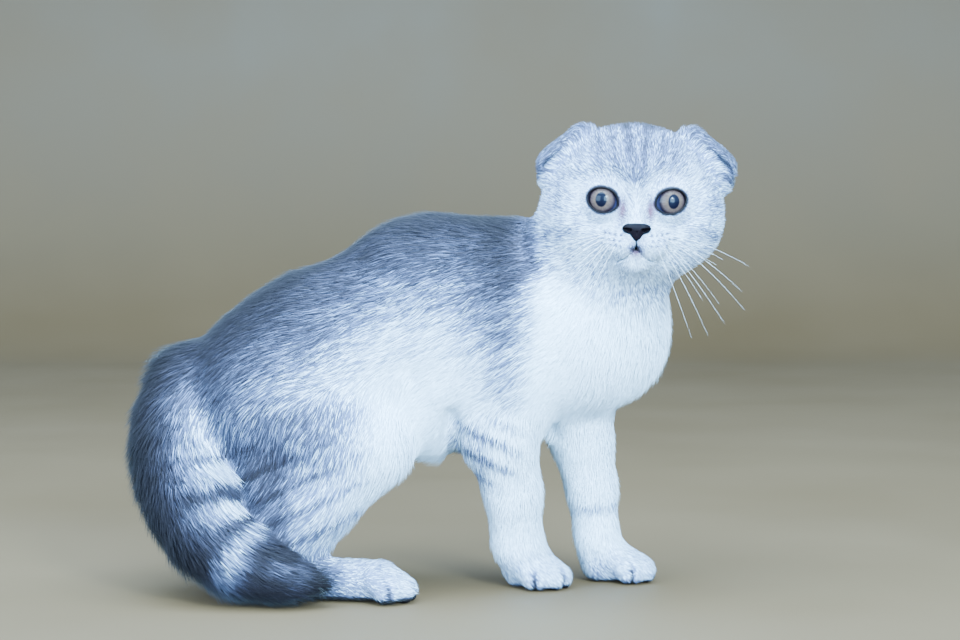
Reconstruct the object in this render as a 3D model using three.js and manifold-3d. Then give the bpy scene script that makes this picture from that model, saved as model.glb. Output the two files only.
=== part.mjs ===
// A shorthaired fold-eared kitten, life size, standing side-on in a low crouch with its back
// arched, its head turned to face sideways and its tail curled forward along the floor.
//
// Millimetres. +Z is up and the floor is z = 0. The body faces +X, so its right side is towards
// -Y, and the face looks towards -Y. Near names the right legs and far the left ones.
// All sizes are taken over the coat. The body is one smooth field of distances, which is
// meshed region by region and parted with thin plane cuts.

import * as THREE from "three";
import { mergeVertices } from "three/addons/utils/BufferGeometryUtils.js";
import Module from "manifold-3d";

const wasm = await Module();
wasm.setup();

// Driving dimensions

const CUT_GAP = 0.3; // left open between two nodes that meet
const TAIL_GAP = 0.45; // the tail lies against the body, so it stands a little further off
const FLOOR_BITE = 0.9; // how far the soles reach below the floor before they are cut flat

const SHORTEST_EDGE = 0.06; // shorter edges are drawn together

const BACK_HEIGHT = 173.5; // top of the arched back
const CHEST_FRONT = 109; // foremost point of the chest, along X
const RUMP_BACK = -114; // rearmost point of the rump under the tail, along X
const BODY_HALF_WIDTH = 43; // at the belly

const HEAD_CENTRE = new THREE.Vector3(90, -20, 178);
const HEAD_ROLL = 0.023; // radians, the head leans to its own left
const HEAD_TURN = -0.045; // radians, the face is turned a little to its own right
const HEAD_HALF_WIDTH = 41.5; // across the cheeks
const CROWN_HEIGHT = 33.5; // top of the head above its centre
const NOSE_REACH = 41; // front of the nose ahead of the head's centre
const FACE_SHIFT = 1.5; // the coat of the right cheek is fuller, so the face lies this far to the left

const EYE_RADIUS = 8.6;
const EYE_SIDE = 13.9; // half the distance between the eyes
const EYE_FORWARD = 22.9;
const EYE_UP = -2;
const EYE_OPENING = [7.2, 5.7]; // half width and half height between the lids
const EYE_SLANT = 0.24; // radians, the inner corner lies lower than the outer one
const EYE_TURN = 0.14; // radians, each eye looks a little outwards
const LID_WIDTH = 2.2;
const LID_THICKNESS = 1.4;
const LID_FADE = [7.5, 17]; // the face follows the lids up to the first, and is itself again at the second

const NOSE_HALF_WIDTH = 6;
const NOSE_UP = -14; // the wide top of the nose leather
const NOSE_FOOT = -18.4; // where the leather narrows to the cleft of the lip
const NOSTRIL = { at: [3.3, NOSE_REACH - 0.6, NOSE_UP - 0.7], half: [1.2, 1.6, 0.8] };
const MOUTH_UP = -22; // where the cleft meets the line of the mouth
const MOUTH_GROOVE = 0.55; // radius of the line of the mouth

const EAR_ROOT_THICKNESS = 2.4;
const EAR_RIM_THICKNESS = 1.2;

// How finely each region is faceted
const CELL = {
  head: 5.8,
  face: 3.6,
  muzzle: 3,
  nose: 1.5,
  neck: 7.4,
  torso: 10.3,
  leg: 6.8,
  paw: 4.3,
  tail: 7.8,
};

// Fields of distance: each is a function of x, y, z that is negative inside

/** The rounded union of two distances, with a fillet of about the given size. */
function blend(a, b, fillet) {
  const h = Math.max(fillet - Math.abs(a - b), 0) / fillet;
  return Math.min(a, b) - h * h * fillet * 0.25;
}

/** A ball drawn out between two centres, with its own radius at each end. */
function roundCone(from, to, radiusFrom, radiusTo) {
  const [ax, ay, az] = from;
  const [bx, by, bz] = [to[0] - ax, to[1] - ay, to[2] - az];
  const length2 = bx * bx + by * by + bz * bz;
  const slope = radiusFrom - radiusTo;
  const side2 = length2 - slope * slope;
  return (x, y, z) => {
    const [px, py, pz] = [x - ax, y - ay, z - az];
    const along = px * bx + py * by + pz * bz;
    const past = along - length2;
    const across2 =
      (px * length2 - bx * along) ** 2 +
      (py * length2 - by * along) ** 2 +
      (pz * length2 - bz * along) ** 2;
    const along2 = along * along * length2;
    const past2 = past * past * length2;
    const edge = Math.sign(slope) * slope * slope * across2;
    if (Math.sign(past) * side2 * past2 > edge) {
      return Math.sqrt(across2 + past2) / length2 - radiusTo;
    }
    if (Math.sign(along) * side2 * along2 < edge) {
      return Math.sqrt(across2 + along2) / length2 - radiusFrom;
    }
    return (Math.sqrt((across2 * side2) / length2) + along * slope) / length2 - radiusFrom;
  };
}

/** An ellipsoid of the given half sizes, leaned in the XZ plane by an angle in degrees. */
function ellipsoid(at, half, lean = 0) {
  const [cos, sin] = [Math.cos, Math.sin].map((f) => f(THREE.MathUtils.degToRad(lean)));
  return (x, y, z) => {
    const [dx, dy, dz] = [x - at[0], y - at[1], z - at[2]];
    const [lx, lz] = [dx * cos + dz * sin, dz * cos - dx * sin];
    const [ux, uy, uz] = [lx / half[0], dy / half[1], lz / half[2]];
    const k0 = Math.hypot(ux, uy, uz);
    const k1 = Math.hypot(ux / half[0], uy / half[1], uz / half[2]);
    return k1 === 0 ? -Math.min(...half) : (k0 * (k0 - 1)) / k1;
  };
}

/** The rounded union of a list of fields. */
function blendAll(fields, fillet) {
  return (x, y, z) =>
    fields.reduce((d, field) => (d === null ? field(x, y, z) : blend(d, field(x, y, z), fillet)), null);
}

/** A limb or tail: round cones through a list of joints, each { at, radius }. */
function limb(joints, fillet) {
  const bones = joints
    .slice(1)
    .map((end, i) => roundCone(joints[i].at, end.at, joints[i].radius, end.radius));
  return blendAll(bones, fillet);
}

// Torso

const TORSO = [
  { name: "chest", at: [CHEST_FRONT - 35, 0, 113], half: [35, 33, 34], lean: 0 },
  { name: "shoulders", at: [38, 0, 119], half: [40, 37, BACK_HEIGHT - 122], lean: -4 },
  { name: "ribs", at: [2, 0, 114], half: [56, BODY_HALF_WIDTH, BACK_HEIGHT - 115], lean: 2 },
  { name: "loin", at: [-48, 0, 101], half: [52, BODY_HALF_WIDTH, 47], lean: 28 },
  { name: "hips", at: [RUMP_BACK + 40, 0, 89], half: [40, 40, 40], lean: 0 },
];
const TORSO_FILLET = 12;
const torso = blendAll(
  TORSO.map(({ at, half, lean }) => ellipsoid(at, half, lean)),
  TORSO_FILLET,
);

// Neck

const NECK_BASE = { at: [68, 0, 126], radius: 34 };
const NECK_TOP = { at: [90, -8, 164], radius: 27 };
const neck = roundCone(NECK_BASE.at, NECK_TOP.at, NECK_BASE.radius, NECK_TOP.radius);

// Legs

const FRONT_NEAR = [
  { at: [36, -15, 100], radius: 22 },
  { at: [31, -16, 70], radius: 17.5 },
  { at: [37, -11, 44], radius: 13.8 },
  { at: [39, -7, 22], radius: 12.2 },
  { at: [43, -5, 11], radius: 10.5 },
];
const FRONT_FAR = [
  { at: [62, 15, 98], radius: 22 },
  { at: [69, 15, 66], radius: 15.5 },
  { at: [74, 14, 43], radius: 12.4 },
  { at: [76, 13, 22], radius: 11 },
  { at: [79, 12, 10], radius: 10 },
];
const HIND_NEAR = [
  { at: [-64, -22, 86], radius: 28 },
  { at: [-46, -29, 70], radius: 25 },
  { at: [-25, -34, 66], radius: 18 },
  { at: [-49, -37, 43.6], radius: 18.4 },
  { at: [-67, -38, 18.3], radius: 13.4 },
];
const HIND_FAR = [
  { at: [-74, 22, 84], radius: 28 },
  { at: [-66, 30, 70], radius: 25 },
  { at: [-55, 34, 65], radius: 17.5 },
  { at: [-84, 36, 42], radius: 16.5 },
  { at: [-103, 37, 18], radius: 12.5 },
];

// The back of each hind leg, from the haunch down the hamstring to the hock
const HAMSTRING_NEAR = [
  { at: [-66, -24, 76], radius: 19 },
  { at: [-70, -31, 52], radius: 16.5 },
  { at: [-69, -36, 29], radius: 14 },
];
const HAMSTRING_FAR = [
  { at: [-84, 27, 74], radius: 19 },
  { at: [-93, 34, 48], radius: 12 },
  { at: [-100, 37, 26], radius: 10.5 },
];

// Paws: each is set out from its heel along its own heading

const PAW_WIDTH = 27;
const BALL_SETBACK = 12; // behind the middle of the toe tips
const TOE_SPREAD = [-0.36, -0.13, 0.13, 0.36]; // across the paw, as shares of its width
const TOE_SETBACK = [5.5, 0, 0, 5.5]; // the outer toes stand behind the middle ones
const TOE_RADIUS = 6;
const KNUCKLE = { radius: 5.8, height: 11.2, setback: 9.5, spread: 0.84 };
const TOE_FILLET = 1;
const SOLE_FILLET = 2.5;

/** A paw: a sole from the heel to the ball, and four arched toes. */
function paw({ at, heading, length, instep, ball }) {
  const turn = THREE.MathUtils.degToRad(heading);
  const [cos, sin] = [Math.cos(turn), Math.sin(turn)];
  const place = (forward, side, up) => [
    at[0] + forward * cos - side * sin,
    at[1] + forward * sin + side * cos,
    up,
  ];
  const tip = length - TOE_RADIUS;
  const heelRadius = instep / 2;
  const sole = roundCone(
    place(0, 0, heelRadius - FLOOR_BITE),
    place(tip - BALL_SETBACK, 0, ball - FLOOR_BITE),
    heelRadius,
    ball,
  );
  const toes = TOE_SPREAD.map((share, i) =>
    roundCone(
      place(
        tip - KNUCKLE.setback - TOE_SETBACK[i] / 2,
        share * PAW_WIDTH * KNUCKLE.spread,
        KNUCKLE.height,
      ),
      place(tip - TOE_SETBACK[i], share * PAW_WIDTH, TOE_RADIUS - FLOOR_BITE),
      KNUCKLE.radius,
      TOE_RADIUS,
    ),
  );
  const toesTogether = blendAll(toes, TOE_FILLET);
  return (x, y, z) => blend(sole(x, y, z), toesTogether(x, y, z), SOLE_FILLET);
}

const PAWS = {
  front_near: { at: [41, -3, 0], heading: -30, length: 24, instep: 17, ball: 8.2 },
  front_far: { at: [78, 12, 0], heading: -8, length: 26, instep: 17, ball: 8.2 },
  hind_near: { at: [-65, -37, 0], heading: -9, length: 60, instep: 21, ball: 9.4 },
  hind_far: { at: [-104, 37, 0], heading: 6, length: 54, instep: 18, ball: 8.2 },
};

const LEG_FILLET = 5; // between two bones of a leg
const HAMSTRING_FILLET = 7; // between the bones and the hamstring
const ANKLE_FILLET = 4; // between a leg and its paw
const legs = {
  front_near: { joints: FRONT_NEAR, fillet: 8 }, // the fillet is the one to the trunk
  front_far: { joints: FRONT_FAR, fillet: 8 },
  hind_near: { joints: HIND_NEAR, hamstring: HAMSTRING_NEAR, fillet: 12 },
  hind_far: { joints: HIND_FAR, hamstring: HAMSTRING_FAR, fillet: 12 },
};
for (const [name, leg] of Object.entries(legs)) {
  const lines = [leg.joints, leg.hamstring].filter(Boolean);
  const bones = blendAll(
    lines.map((line) => limb(line, LEG_FILLET)),
    HAMSTRING_FILLET,
  );
  const foot = paw(PAWS[name]);
  leg.field = (x, y, z) => blend(bones(x, y, z), foot(x, y, z), ANKLE_FILLET);
}

// Head, in its own frame: side (to the cat's left), forward and up from its centre

const headFrame = new THREE.Matrix4()
  .makeBasis(new THREE.Vector3(1, 0, 0), new THREE.Vector3(0, -1, 0), new THREE.Vector3(0, 0, 1))
  .premultiply(new THREE.Matrix4().makeRotationY(HEAD_ROLL))
  .premultiply(new THREE.Matrix4().makeRotationZ(HEAD_TURN))
  .setPosition(HEAD_CENTRE);

/** A point of the head's own frame, in the part's frame. */
function headPoint(side, forward, up) {
  return new THREE.Vector3(side, forward, up).applyMatrix4(headFrame);
}

// Each form is blended into those before it with its own fillet
const SKULL = [
  { form: ellipsoid([0, -4, 3], [HEAD_HALF_WIDTH - 5, 36, CROWN_HEIGHT - 3]), fillet: 0 },
  { form: ellipsoid([0, 9, -5], [31, 24, 25]), fillet: 12 },
  { form: ellipsoid([22, 3, -11], [HEAD_HALF_WIDTH - 22, 21, 21]), fillet: 12 },
  { form: ellipsoid([0, 6, -24], [24, 22, 15]), fillet: 10 },
]; // cranium, cheekbones, cheek and throat, about the middle of the head
const FACE = [
  { form: ellipsoid([13, 20, 9], [13, 10, 7]), fillet: 8 },
  { form: roundCone([0, 24, 3], [0, NOSE_REACH - 6.8, -12], 8, 5.4), fillet: 7 },
  { form: ellipsoid([0, NOSE_REACH - 12, -28.5], [7.6, 7, 5.2]), fillet: 4 },
  { form: ellipsoid([6, NOSE_REACH - 9, -20.5], [8.6, 8.8, 7]), fillet: 4 },
]; // brow, bridge, chin and whisker pad, about the middle of the face
const LEATHER = {
  top: ellipsoid([0, NOSE_REACH - 3.4, NOSE_UP], [NOSE_HALF_WIDTH, 3.6, 2.5]),
  stem: roundCone([0, NOSE_REACH - 3, NOSE_UP - 1], [0, NOSE_REACH - 3.4, NOSE_FOOT], 2.7, 1.2),
  fillet: 2,
};
const LID_AHEAD = [-8, 4]; // the lids fade in over this stretch ahead of the eye's centre

function headLocal(side, forward, up) {
  const aboutHead = Math.abs(side);
  const aboutFace = Math.abs(side - FACE_SHIFT);
  let d = SKULL[0].form(aboutHead, forward, up);
  for (const { form, fillet } of SKULL.slice(1)) d = blend(d, form(aboutHead, forward, up), fillet);
  for (const { form, fillet } of FACE) d = blend(d, form(aboutFace, forward, up), fillet);
  const ahead = forward - EYE_FORWARD;
  const aside = Math.hypot(aboutFace - EYE_SIDE, up - EYE_UP);
  const near = 1 - THREE.MathUtils.smoothstep(aside, ...LID_FADE);
  const share = near * THREE.MathUtils.smoothstep(ahead, ...LID_AHEAD);
  const lids = Math.hypot(aside, ahead) - EYE_RADIUS - CUT_GAP - LID_THICKNESS;
  return THREE.MathUtils.lerp(d, lids, share);
}

function noseLocal(side, forward, up) {
  const aboutFace = Math.abs(side - FACE_SHIFT);
  const { top, stem, fillet } = LEATHER;
  return blend(top(aboutFace, forward, up), stem(aboutFace, forward, up), fillet);
}

const toHead = headFrame.clone().invert().elements;

/** A field of the head's own frame as a field of the part's frame. */
function fromHead(local) {
  const m = toHead;
  return (x, y, z) =>
    local(
      m[0] * x + m[4] * y + m[8] * z + m[12],
      m[1] * x + m[5] * y + m[9] * z + m[13],
      m[2] * x + m[6] * y + m[10] * z + m[14],
    );
}

const head = fromHead(headLocal);
const nose = fromHead(noseLocal);

// The whole body but for the tail

const NECK_FILLET = 16;
const HEAD_FILLET = 10;

function body(x, y, z) {
  const trunk = blend(torso(x, y, z), neck(x, y, z), NECK_FILLET);
  let d = blend(trunk, head(x, y, z), HEAD_FILLET);
  for (const { field, fillet } of Object.values(legs)) {
    d = Math.min(d, blend(trunk, field(x, y, z), fillet));
  }
  return d;
}

// Tail

const TAIL = [
  { at: [-95, 0, 98], radius: 21 },
  { at: [-107.5, -3, 92], radius: 22 },
  { at: [-112.5, -10, 78], radius: 22.5 },
  { at: [-113, -18, 66], radius: 23 },
  { at: [-110.5, -26, 54.5], radius: 23 },
  { at: [-104.5, -35, 43.5], radius: 23 },
  { at: [-98, -44, 31.5], radius: 20.7 },
  { at: [-85, -51, 21], radius: 18.8 },
  { at: [-70, -57, 15], radius: 14.5 },
  { at: [-58, -60, 12.5], radius: 10.5 },
  { at: [-48, -60, 10], radius: 7 },
];
const TAIL_FILLET = 3;
const tail = limb(TAIL, TAIL_FILLET);
const TAIL_CUTS = [
  { at: [-108, -24, 55], normal: [0.45, -0.55, -0.7] },
  { at: [-80, -51, 22], normal: [0.85, -0.45, -0.35] },
];

// Regions

/** A box from its low and high corners. */
function boxOf(low, high) {
  return new THREE.Box3(new THREE.Vector3(...low), new THREE.Vector3(...high));
}

// Each region is meshed in a box with room round it
const BOX = {
  head: boxOf([35, -80, 118], [145, 40, 225]),
  face: boxOf([45, -80, 128], [135, -24, 212]),
  muzzle: boxOf([68, -70, 134], [118, -38, 174]),
  nose: boxOf([78, -68, 152], [102, -50, 172]),
  neck: boxOf([20, -70, 100], [150, 60, 195]),
  torso: boxOf([-140, -60, 20], [135, 60, 190]),
  tail: boxOf([-165, -110, -12], [-20, 40, 130]),
};

// Meshing: one vertex in each cell that the surface crosses, moved onto the surface

/** The closed surface of a field inside a box, as a solid. Where the box cuts it, it is closed. */
function mesh(field, box, cell, level = 0) {
  const size = box.getSize(new THREE.Vector3());
  const [nx, ny, nz] = size.toArray().map((length) => Math.ceil(length / cell) + 1);
  const low = box.min;
  const inside = (x, y, z) => {
    const edge = Math.max(
      low.x + cell - x,
      x - box.max.x + cell,
      low.y + cell - y,
      y - box.max.y + cell,
      low.z + cell - z,
      z - box.max.z + cell,
    );
    return Math.max(field(x, y, z) - level, edge);
  };
  const at = (i, j, k) => i + (nx + 1) * (j + (ny + 1) * k);
  const values = new Float64Array((nx + 1) * (ny + 1) * (nz + 1));
  for (let k = 0; k <= nz; k++) {
    for (let j = 0; j <= ny; j++) {
      for (let i = 0; i <= nx; i++) {
        values[at(i, j, k)] = inside(low.x + i * cell, low.y + j * cell, low.z + k * cell);
      }
    }
  }

  const corners = [];
  for (let c = 0; c < 8; c++) corners.push([c & 1, (c >> 1) & 1, c >> 2]);
  const edges = [];
  for (let a = 0; a < 8; a++) {
    for (let b = a + 1; b < 8; b++) {
      const apart = corners[a].reduce((sum, v, axis) => sum + Math.abs(v - corners[b][axis]), 0);
      if (apart === 1) edges.push([a, b]);
    }
  }

  const vertexOf = new Map();
  const positions = [];
  for (let k = 0; k < nz; k++) {
    for (let j = 0; j < ny; j++) {
      for (let i = 0; i < nx; i++) {
        const found = corners.map(([a, b, c]) => values[at(i + a, j + b, k + c)]);
        const sum = [0, 0, 0];
        let crossings = 0;
        for (const [a, b] of edges) {
          if (found[a] < 0 === found[b] < 0) continue;
          const share = found[a] / (found[a] - found[b]);
          for (let axis = 0; axis < 3; axis++) {
            sum[axis] += corners[a][axis] + share * (corners[b][axis] - corners[a][axis]);
          }
          crossings++;
        }
        if (!crossings) continue;
        const point = [i, j, k].map(
          (n, axis) => low.getComponent(axis) + (n + sum[axis] / crossings) * cell,
        );
        vertexOf.set(at(i, j, k), positions.length / 3);
        positions.push(...ontoSurface(inside, point, cell));
      }
    }
  }

  const triangles = [];
  const span = [1, nx + 1, (nx + 1) * (ny + 1)];
  for (let k = 1; k < nz; k++) {
    for (let j = 1; j < ny; j++) {
      for (let i = 1; i < nx; i++) {
        const here = at(i, j, k);
        for (let axis = 0; axis < 3; axis++) {
          const [u, v] = [span[(axis + 1) % 3], span[(axis + 2) % 3]];
          const starts = values[here] < 0;
          if (starts === values[here + span[axis]] < 0) continue;
          const ring = [here, here - u, here - u - v, here - v].map((n) => vertexOf.get(n));
          if (!starts) ring.reverse();
          triangles.push(...splitQuad(ring, positions));
        }
      }
    }
  }
  return solidOf(new Float32Array(positions), new Uint32Array(triangles));
}

const SLOPE_STEP = 0.05; // of a cell, to each side of the point
const FLATTEST_SLOPE2 = 0.3; // keeps the move short where the field is nearly level
const FURTHEST_MOVE = 0.4; // of a cell

/** A point moved along the field's slope until it lies on the surface, but never far. */
function ontoSurface(field, [x0, y0, z0], cell) {
  let [x, y, z] = [x0, y0, z0];
  const step = cell * SLOPE_STEP;
  for (let turn = 0; turn < 2; turn++) {
    const d = field(x, y, z);
    const gx = (field(x + step, y, z) - field(x - step, y, z)) / (2 * step);
    const gy = (field(x, y + step, z) - field(x, y - step, z)) / (2 * step);
    const gz = (field(x, y, z + step) - field(x, y, z - step)) / (2 * step);
    const slope2 = Math.max(gx * gx + gy * gy + gz * gz, FLATTEST_SLOPE2);
    x -= (d * gx) / slope2;
    y -= (d * gy) / slope2;
    z -= (d * gz) / slope2;
  }
  const moved = Math.hypot(x - x0, y - y0, z - z0);
  const kept = Math.min(1, (cell * FURTHEST_MOVE) / Math.max(moved, 1e-9));
  return [x0 + (x - x0) * kept, y0 + (y - y0) * kept, z0 + (z - z0) * kept];
}

/** A four-sided face as two triangles, across its shorter diagonal. */
function splitQuad([a, b, c, d], positions) {
  const apart = (p, q) =>
    Math.hypot(...[0, 1, 2].map((axis) => positions[3 * p + axis] - positions[3 * q + axis]));
  return apart(a, c) < apart(b, d) ? [a, b, c, a, c, d] : [a, b, d, b, c, d];
}

// Solids: joining and cutting

function solidOf(vertProperties, triVerts) {
  return new wasm.Manifold(new wasm.Mesh({ numProp: 3, vertProperties, triVerts }));
}

const MERGE_TOLERANCE = 1e-4; // corners nearer than this are the same corner

/** A closed three.js geometry as a solid, its faces turned over if it has been mirrored. */
function solidFrom(geometry, mirrored = false) {
  const bare = new THREE.BufferGeometry();
  bare.setAttribute("position", geometry.getAttribute("position"));
  if (geometry.index) bare.setIndex(geometry.index);
  const merged = mergeVertices(bare, MERGE_TOLERANCE);
  const index = new Uint32Array(merged.index.array);
  if (mirrored) index.reverse();
  return solidOf(new Float32Array(merged.attributes.position.array), index);
}

/** The largest closed piece of a solid. */
function largest(solid) {
  return solid.decompose().reduce((best, piece) => (piece.volume() > best.volume() ? piece : best));
}

/** A solid with its shortest edges drawn together, wherever that keeps it closed. */
function withoutShortEdges(solid, shortest) {
  const { vertProperties: at, triVerts: corner, numProp: width } = solid.getMesh();
  const joined = Array.from({ length: at.length / width }, (_, i) => i);
  const around = joined.map(() => new Set());
  const edges = [];
  for (let i = 0; i < corner.length; i++) {
    const [a, b] = [corner[i], corner[i % 3 === 2 ? i - 2 : i + 1]];
    around[a].add(b);
    around[b].add(a);
    if (a < b) edges.push([a, b]);
  }
  const rootOf = (i) => {
    let root = i;
    while (joined[root] !== root) root = joined[root];
    return root;
  };
  const apart = (a, b) =>
    Math.hypot(...[0, 1, 2].map((axis) => at[a * width + axis] - at[b * width + axis]));
  for (const edge of edges) {
    const [kept, gone] = edge.map(rootOf);
    if (kept === gone || apart(kept, gone) >= shortest) continue;
    const shared = [...around[kept]].filter((other) => around[gone].has(other));
    if (shared.length !== 2) continue;
    joined[gone] = kept;
    for (const other of around[gone]) {
      around[other].delete(gone);
      if (other === kept) continue;
      around[other].add(kept);
      around[kept].add(other);
    }
  }
  const faces = [];
  for (let i = 0; i < corner.length; i += 3) {
    const face = [0, 1, 2].map((k) => rootOf(corner[i + k]));
    if (new Set(face).size === 3) faces.push(...face);
  }
  const positions = new Float32Array(joined.length * 3);
  for (let i = 0; i < joined.length; i++) {
    positions.set(at.subarray(i * width, i * width + 3), i * 3);
  }
  return solidOf(positions, new Uint32Array(faces));
}

const REACH = 500; // a half space is a box this long

/** Everything on the side of a plane that its normal points to, from an offset on. */
function beyond({ at, normal }, offset = 0) {
  const box = new THREE.BoxGeometry(REACH, REACH, REACH).translate(0, 0, REACH / 2 + offset);
  const towards = new THREE.Vector3(...normal).normalize();
  box.applyQuaternion(new THREE.Quaternion().setFromUnitVectors(new THREE.Vector3(0, 0, 1), towards));
  return solidFrom(box.translate(...at));
}

const above = beyond({ at: [0, 0, 0], normal: [0, 0, 1] });

// Where the body is parted: each plane's normal points into the part it bounds

const HEAD_CUT = { at: [84, 0, 156], normal: [0.35, -0.6, 0.72] };
const NECK_CUT = { at: [66, 0, 150], normal: [0.7, -0.1, 0.95] };
const FACE_CUT = {
  at: headPoint(0, 17, 0).toArray(),
  normal: headPoint(0, 1, 0).sub(HEAD_CENTRE).toArray(),
};
const MUZZLE_BLOCK = [[-14, 24, -42], [16, 60, -9]]; // in the head's own frame
const LEGS = {
  front_near: {
    planes: [
      { at: [0, -1, 84], normal: [0, -1, -0.14] },
      { at: [36, 0, 84], normal: [0, 0, -1] },
      { at: [10, 0, 84], normal: [1, 0, 0] },
      { at: [52.4, 0, 84], normal: [-1, 0, -0.16] },
    ],
    box: [[6, -50, -10], [76, 20, 94]],
    pawCut: { at: [39, -8, 17], normal: [-0.15, 0.15, 1] },
  },
  front_far: {
    planes: [
      { at: [0, -4, 0], normal: [0, 1, 0] },
      { at: [76, 0, 84], normal: [0, 0, -1] },
      { at: [52.4, 0, 84], normal: [1, 0, 0.16] },
    ],
    box: [[48, -12, -10], [122, 50, 94]],
    pawCut: { at: [77, 13, 16.5], normal: [-0.25, 0, 1] },
  },
  hind_near: {
    planes: [
      { at: [0, -20, 90], normal: [0, -1, -0.12] },
      { at: [-60, 0, 90], normal: [0.2, 0, -1] },
      { at: [-5, 0, 60], normal: [-1, 0, 0] },
    ],
    box: [[-125, -80, -10], [4, -4, 108]],
    pawCut: { at: [-62, -38, 20], normal: [-0.1, 0, 1] },
  },
  hind_far: {
    planes: [
      { at: [0, 20, 90], normal: [0, 1, -0.12] },
      { at: [-60, 0, 90], normal: [0.2, 0, -1] },
      { at: [-22, 0, 60], normal: [-1, 0, 0] },
    ],
    box: [[-126, 3, -11], [-12, 80, 108]],
    pawCut: { at: [-97, 37, 20], normal: [-0.1, 0, 1] },
  },
};

// Assembly

const SILVER = { color: 0xc9d0da, roughness: 0.9, metalness: 0 };
const DARK = { color: 0x6f7583, roughness: 0.9, metalness: 0 };
const LEATHERY = { color: 0x3a2b36, roughness: 0.5, metalness: 0 };
const EYE = { color: 0x8b9490, roughness: 0.1, metalness: 0 };

const cat = new THREE.Group();
cat.name = "kitten";

/** Adds a solid to the model as a named mesh. */
function add(name, solid, look) {
  const clean = withoutShortEdges(solid, SHORTEST_EDGE);
  const { vertProperties, triVerts, numProp, numVert } = clean.getMesh();
  const positions = new Float32Array(numVert * 3);
  for (let i = 0; i < numVert; i++) {
    positions.set(vertProperties.subarray(i * numProp, i * numProp + 3), i * 3);
  }
  const geometry = new THREE.BufferGeometry();
  geometry.setAttribute("position", new THREE.BufferAttribute(positions, 3));
  geometry.setIndex(new THREE.BufferAttribute(triVerts, 1));
  const node = new THREE.Mesh(geometry, new THREE.MeshStandardMaterial(look));
  node.name = name;
  cat.add(node);
}

/** The region bounded by a list of planes, grown by a distance. */
function region(planes, grow) {
  return planes
    .map((plane) => beyond(plane, -grow))
    .reduce((solid, half) => solid.intersect(half));
}

/** A closed geometry of the head's own frame as a solid. The frame is mirrored, so faces turn over. */
function onHead(geometry) {
  return solidFrom(geometry.applyMatrix4(headFrame), true);
}

const HALF_GAP = CUT_GAP / 2;
const taken = []; // what the tail keeps clear of

/** A piece of the body, and the same piece grown by the gap for the tail to keep clear of. */
function bodyPiece(box, cell, keep) {
  taken.push(keep(mesh(body, box, cell, TAIL_GAP)));
  return largest(keep(mesh(body, box, cell)));
}

// Eyes and lids
const EYES = { left: 1, right: -1 };
const OPENING_DEPTH = 40; // longer than the eye is deep
const OPENING_FACETS = 18;
const lidRadius = EYE_RADIUS + CUT_GAP;
const eyeHoles = [];
for (const [name, side] of Object.entries(EYES)) {
  const frame = new THREE.Matrix4()
    .makeTranslation(FACE_SHIFT + side * EYE_SIDE, EYE_FORWARD, EYE_UP)
    .multiply(new THREE.Matrix4().makeRotationZ(-side * EYE_TURN))
    .multiply(new THREE.Matrix4().makeRotationY(-side * EYE_SLANT));
  const ball = (radius, detail) =>
    onHead(new THREE.IcosahedronGeometry(radius, detail).applyMatrix4(frame));
  const opening = (grow) =>
    onHead(
      new THREE.CylinderGeometry(1, 1, OPENING_DEPTH, OPENING_FACETS)
        .translate(0, OPENING_DEPTH / 2, 0)
        .scale(EYE_OPENING[0] + grow, 1, EYE_OPENING[1] + grow)
        .applyMatrix4(frame),
    );
  const lids = ball(lidRadius + LID_THICKNESS, 2)
    .intersect(opening(LID_WIDTH))
    .subtract(ball(lidRadius, 2))
    .subtract(opening(0));
  add(`eye_${name}`, ball(EYE_RADIUS, 3), EYE);
  add(`lids_${name}`, largest(lids), LEATHERY);
  eyeHoles.push(opening(LID_WIDTH + CUT_GAP).add(ball(lidRadius, 2)));
}

// Ears: a thin shell from its root on the skull, over the fold and down to its rim. Three rails
// run along each ear, from the crown to the cheek, in the head's own frame.
const EAR_ROOT = [[23, -3, 27], [28, -7, 19], [32, -7, 12], [35, -4, 8]];
const EAR_FOLD = [[23.5, 0, 33], [35, 0.5, 29], [46, 2, 19.5], [41, -1, 10.5]];
const EAR_RIM = [[26, 5, 27], [34.5, 10, 20.5], [42.5, 9, 12], [38, 3, 8]];
const EAR_ALONG = 11; // faces along the rails
const EAR_ACROSS = 6; // faces from the root to the rim
const NORMAL_STEP = 0.02; // how far apart along the shell its slope is taken

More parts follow.
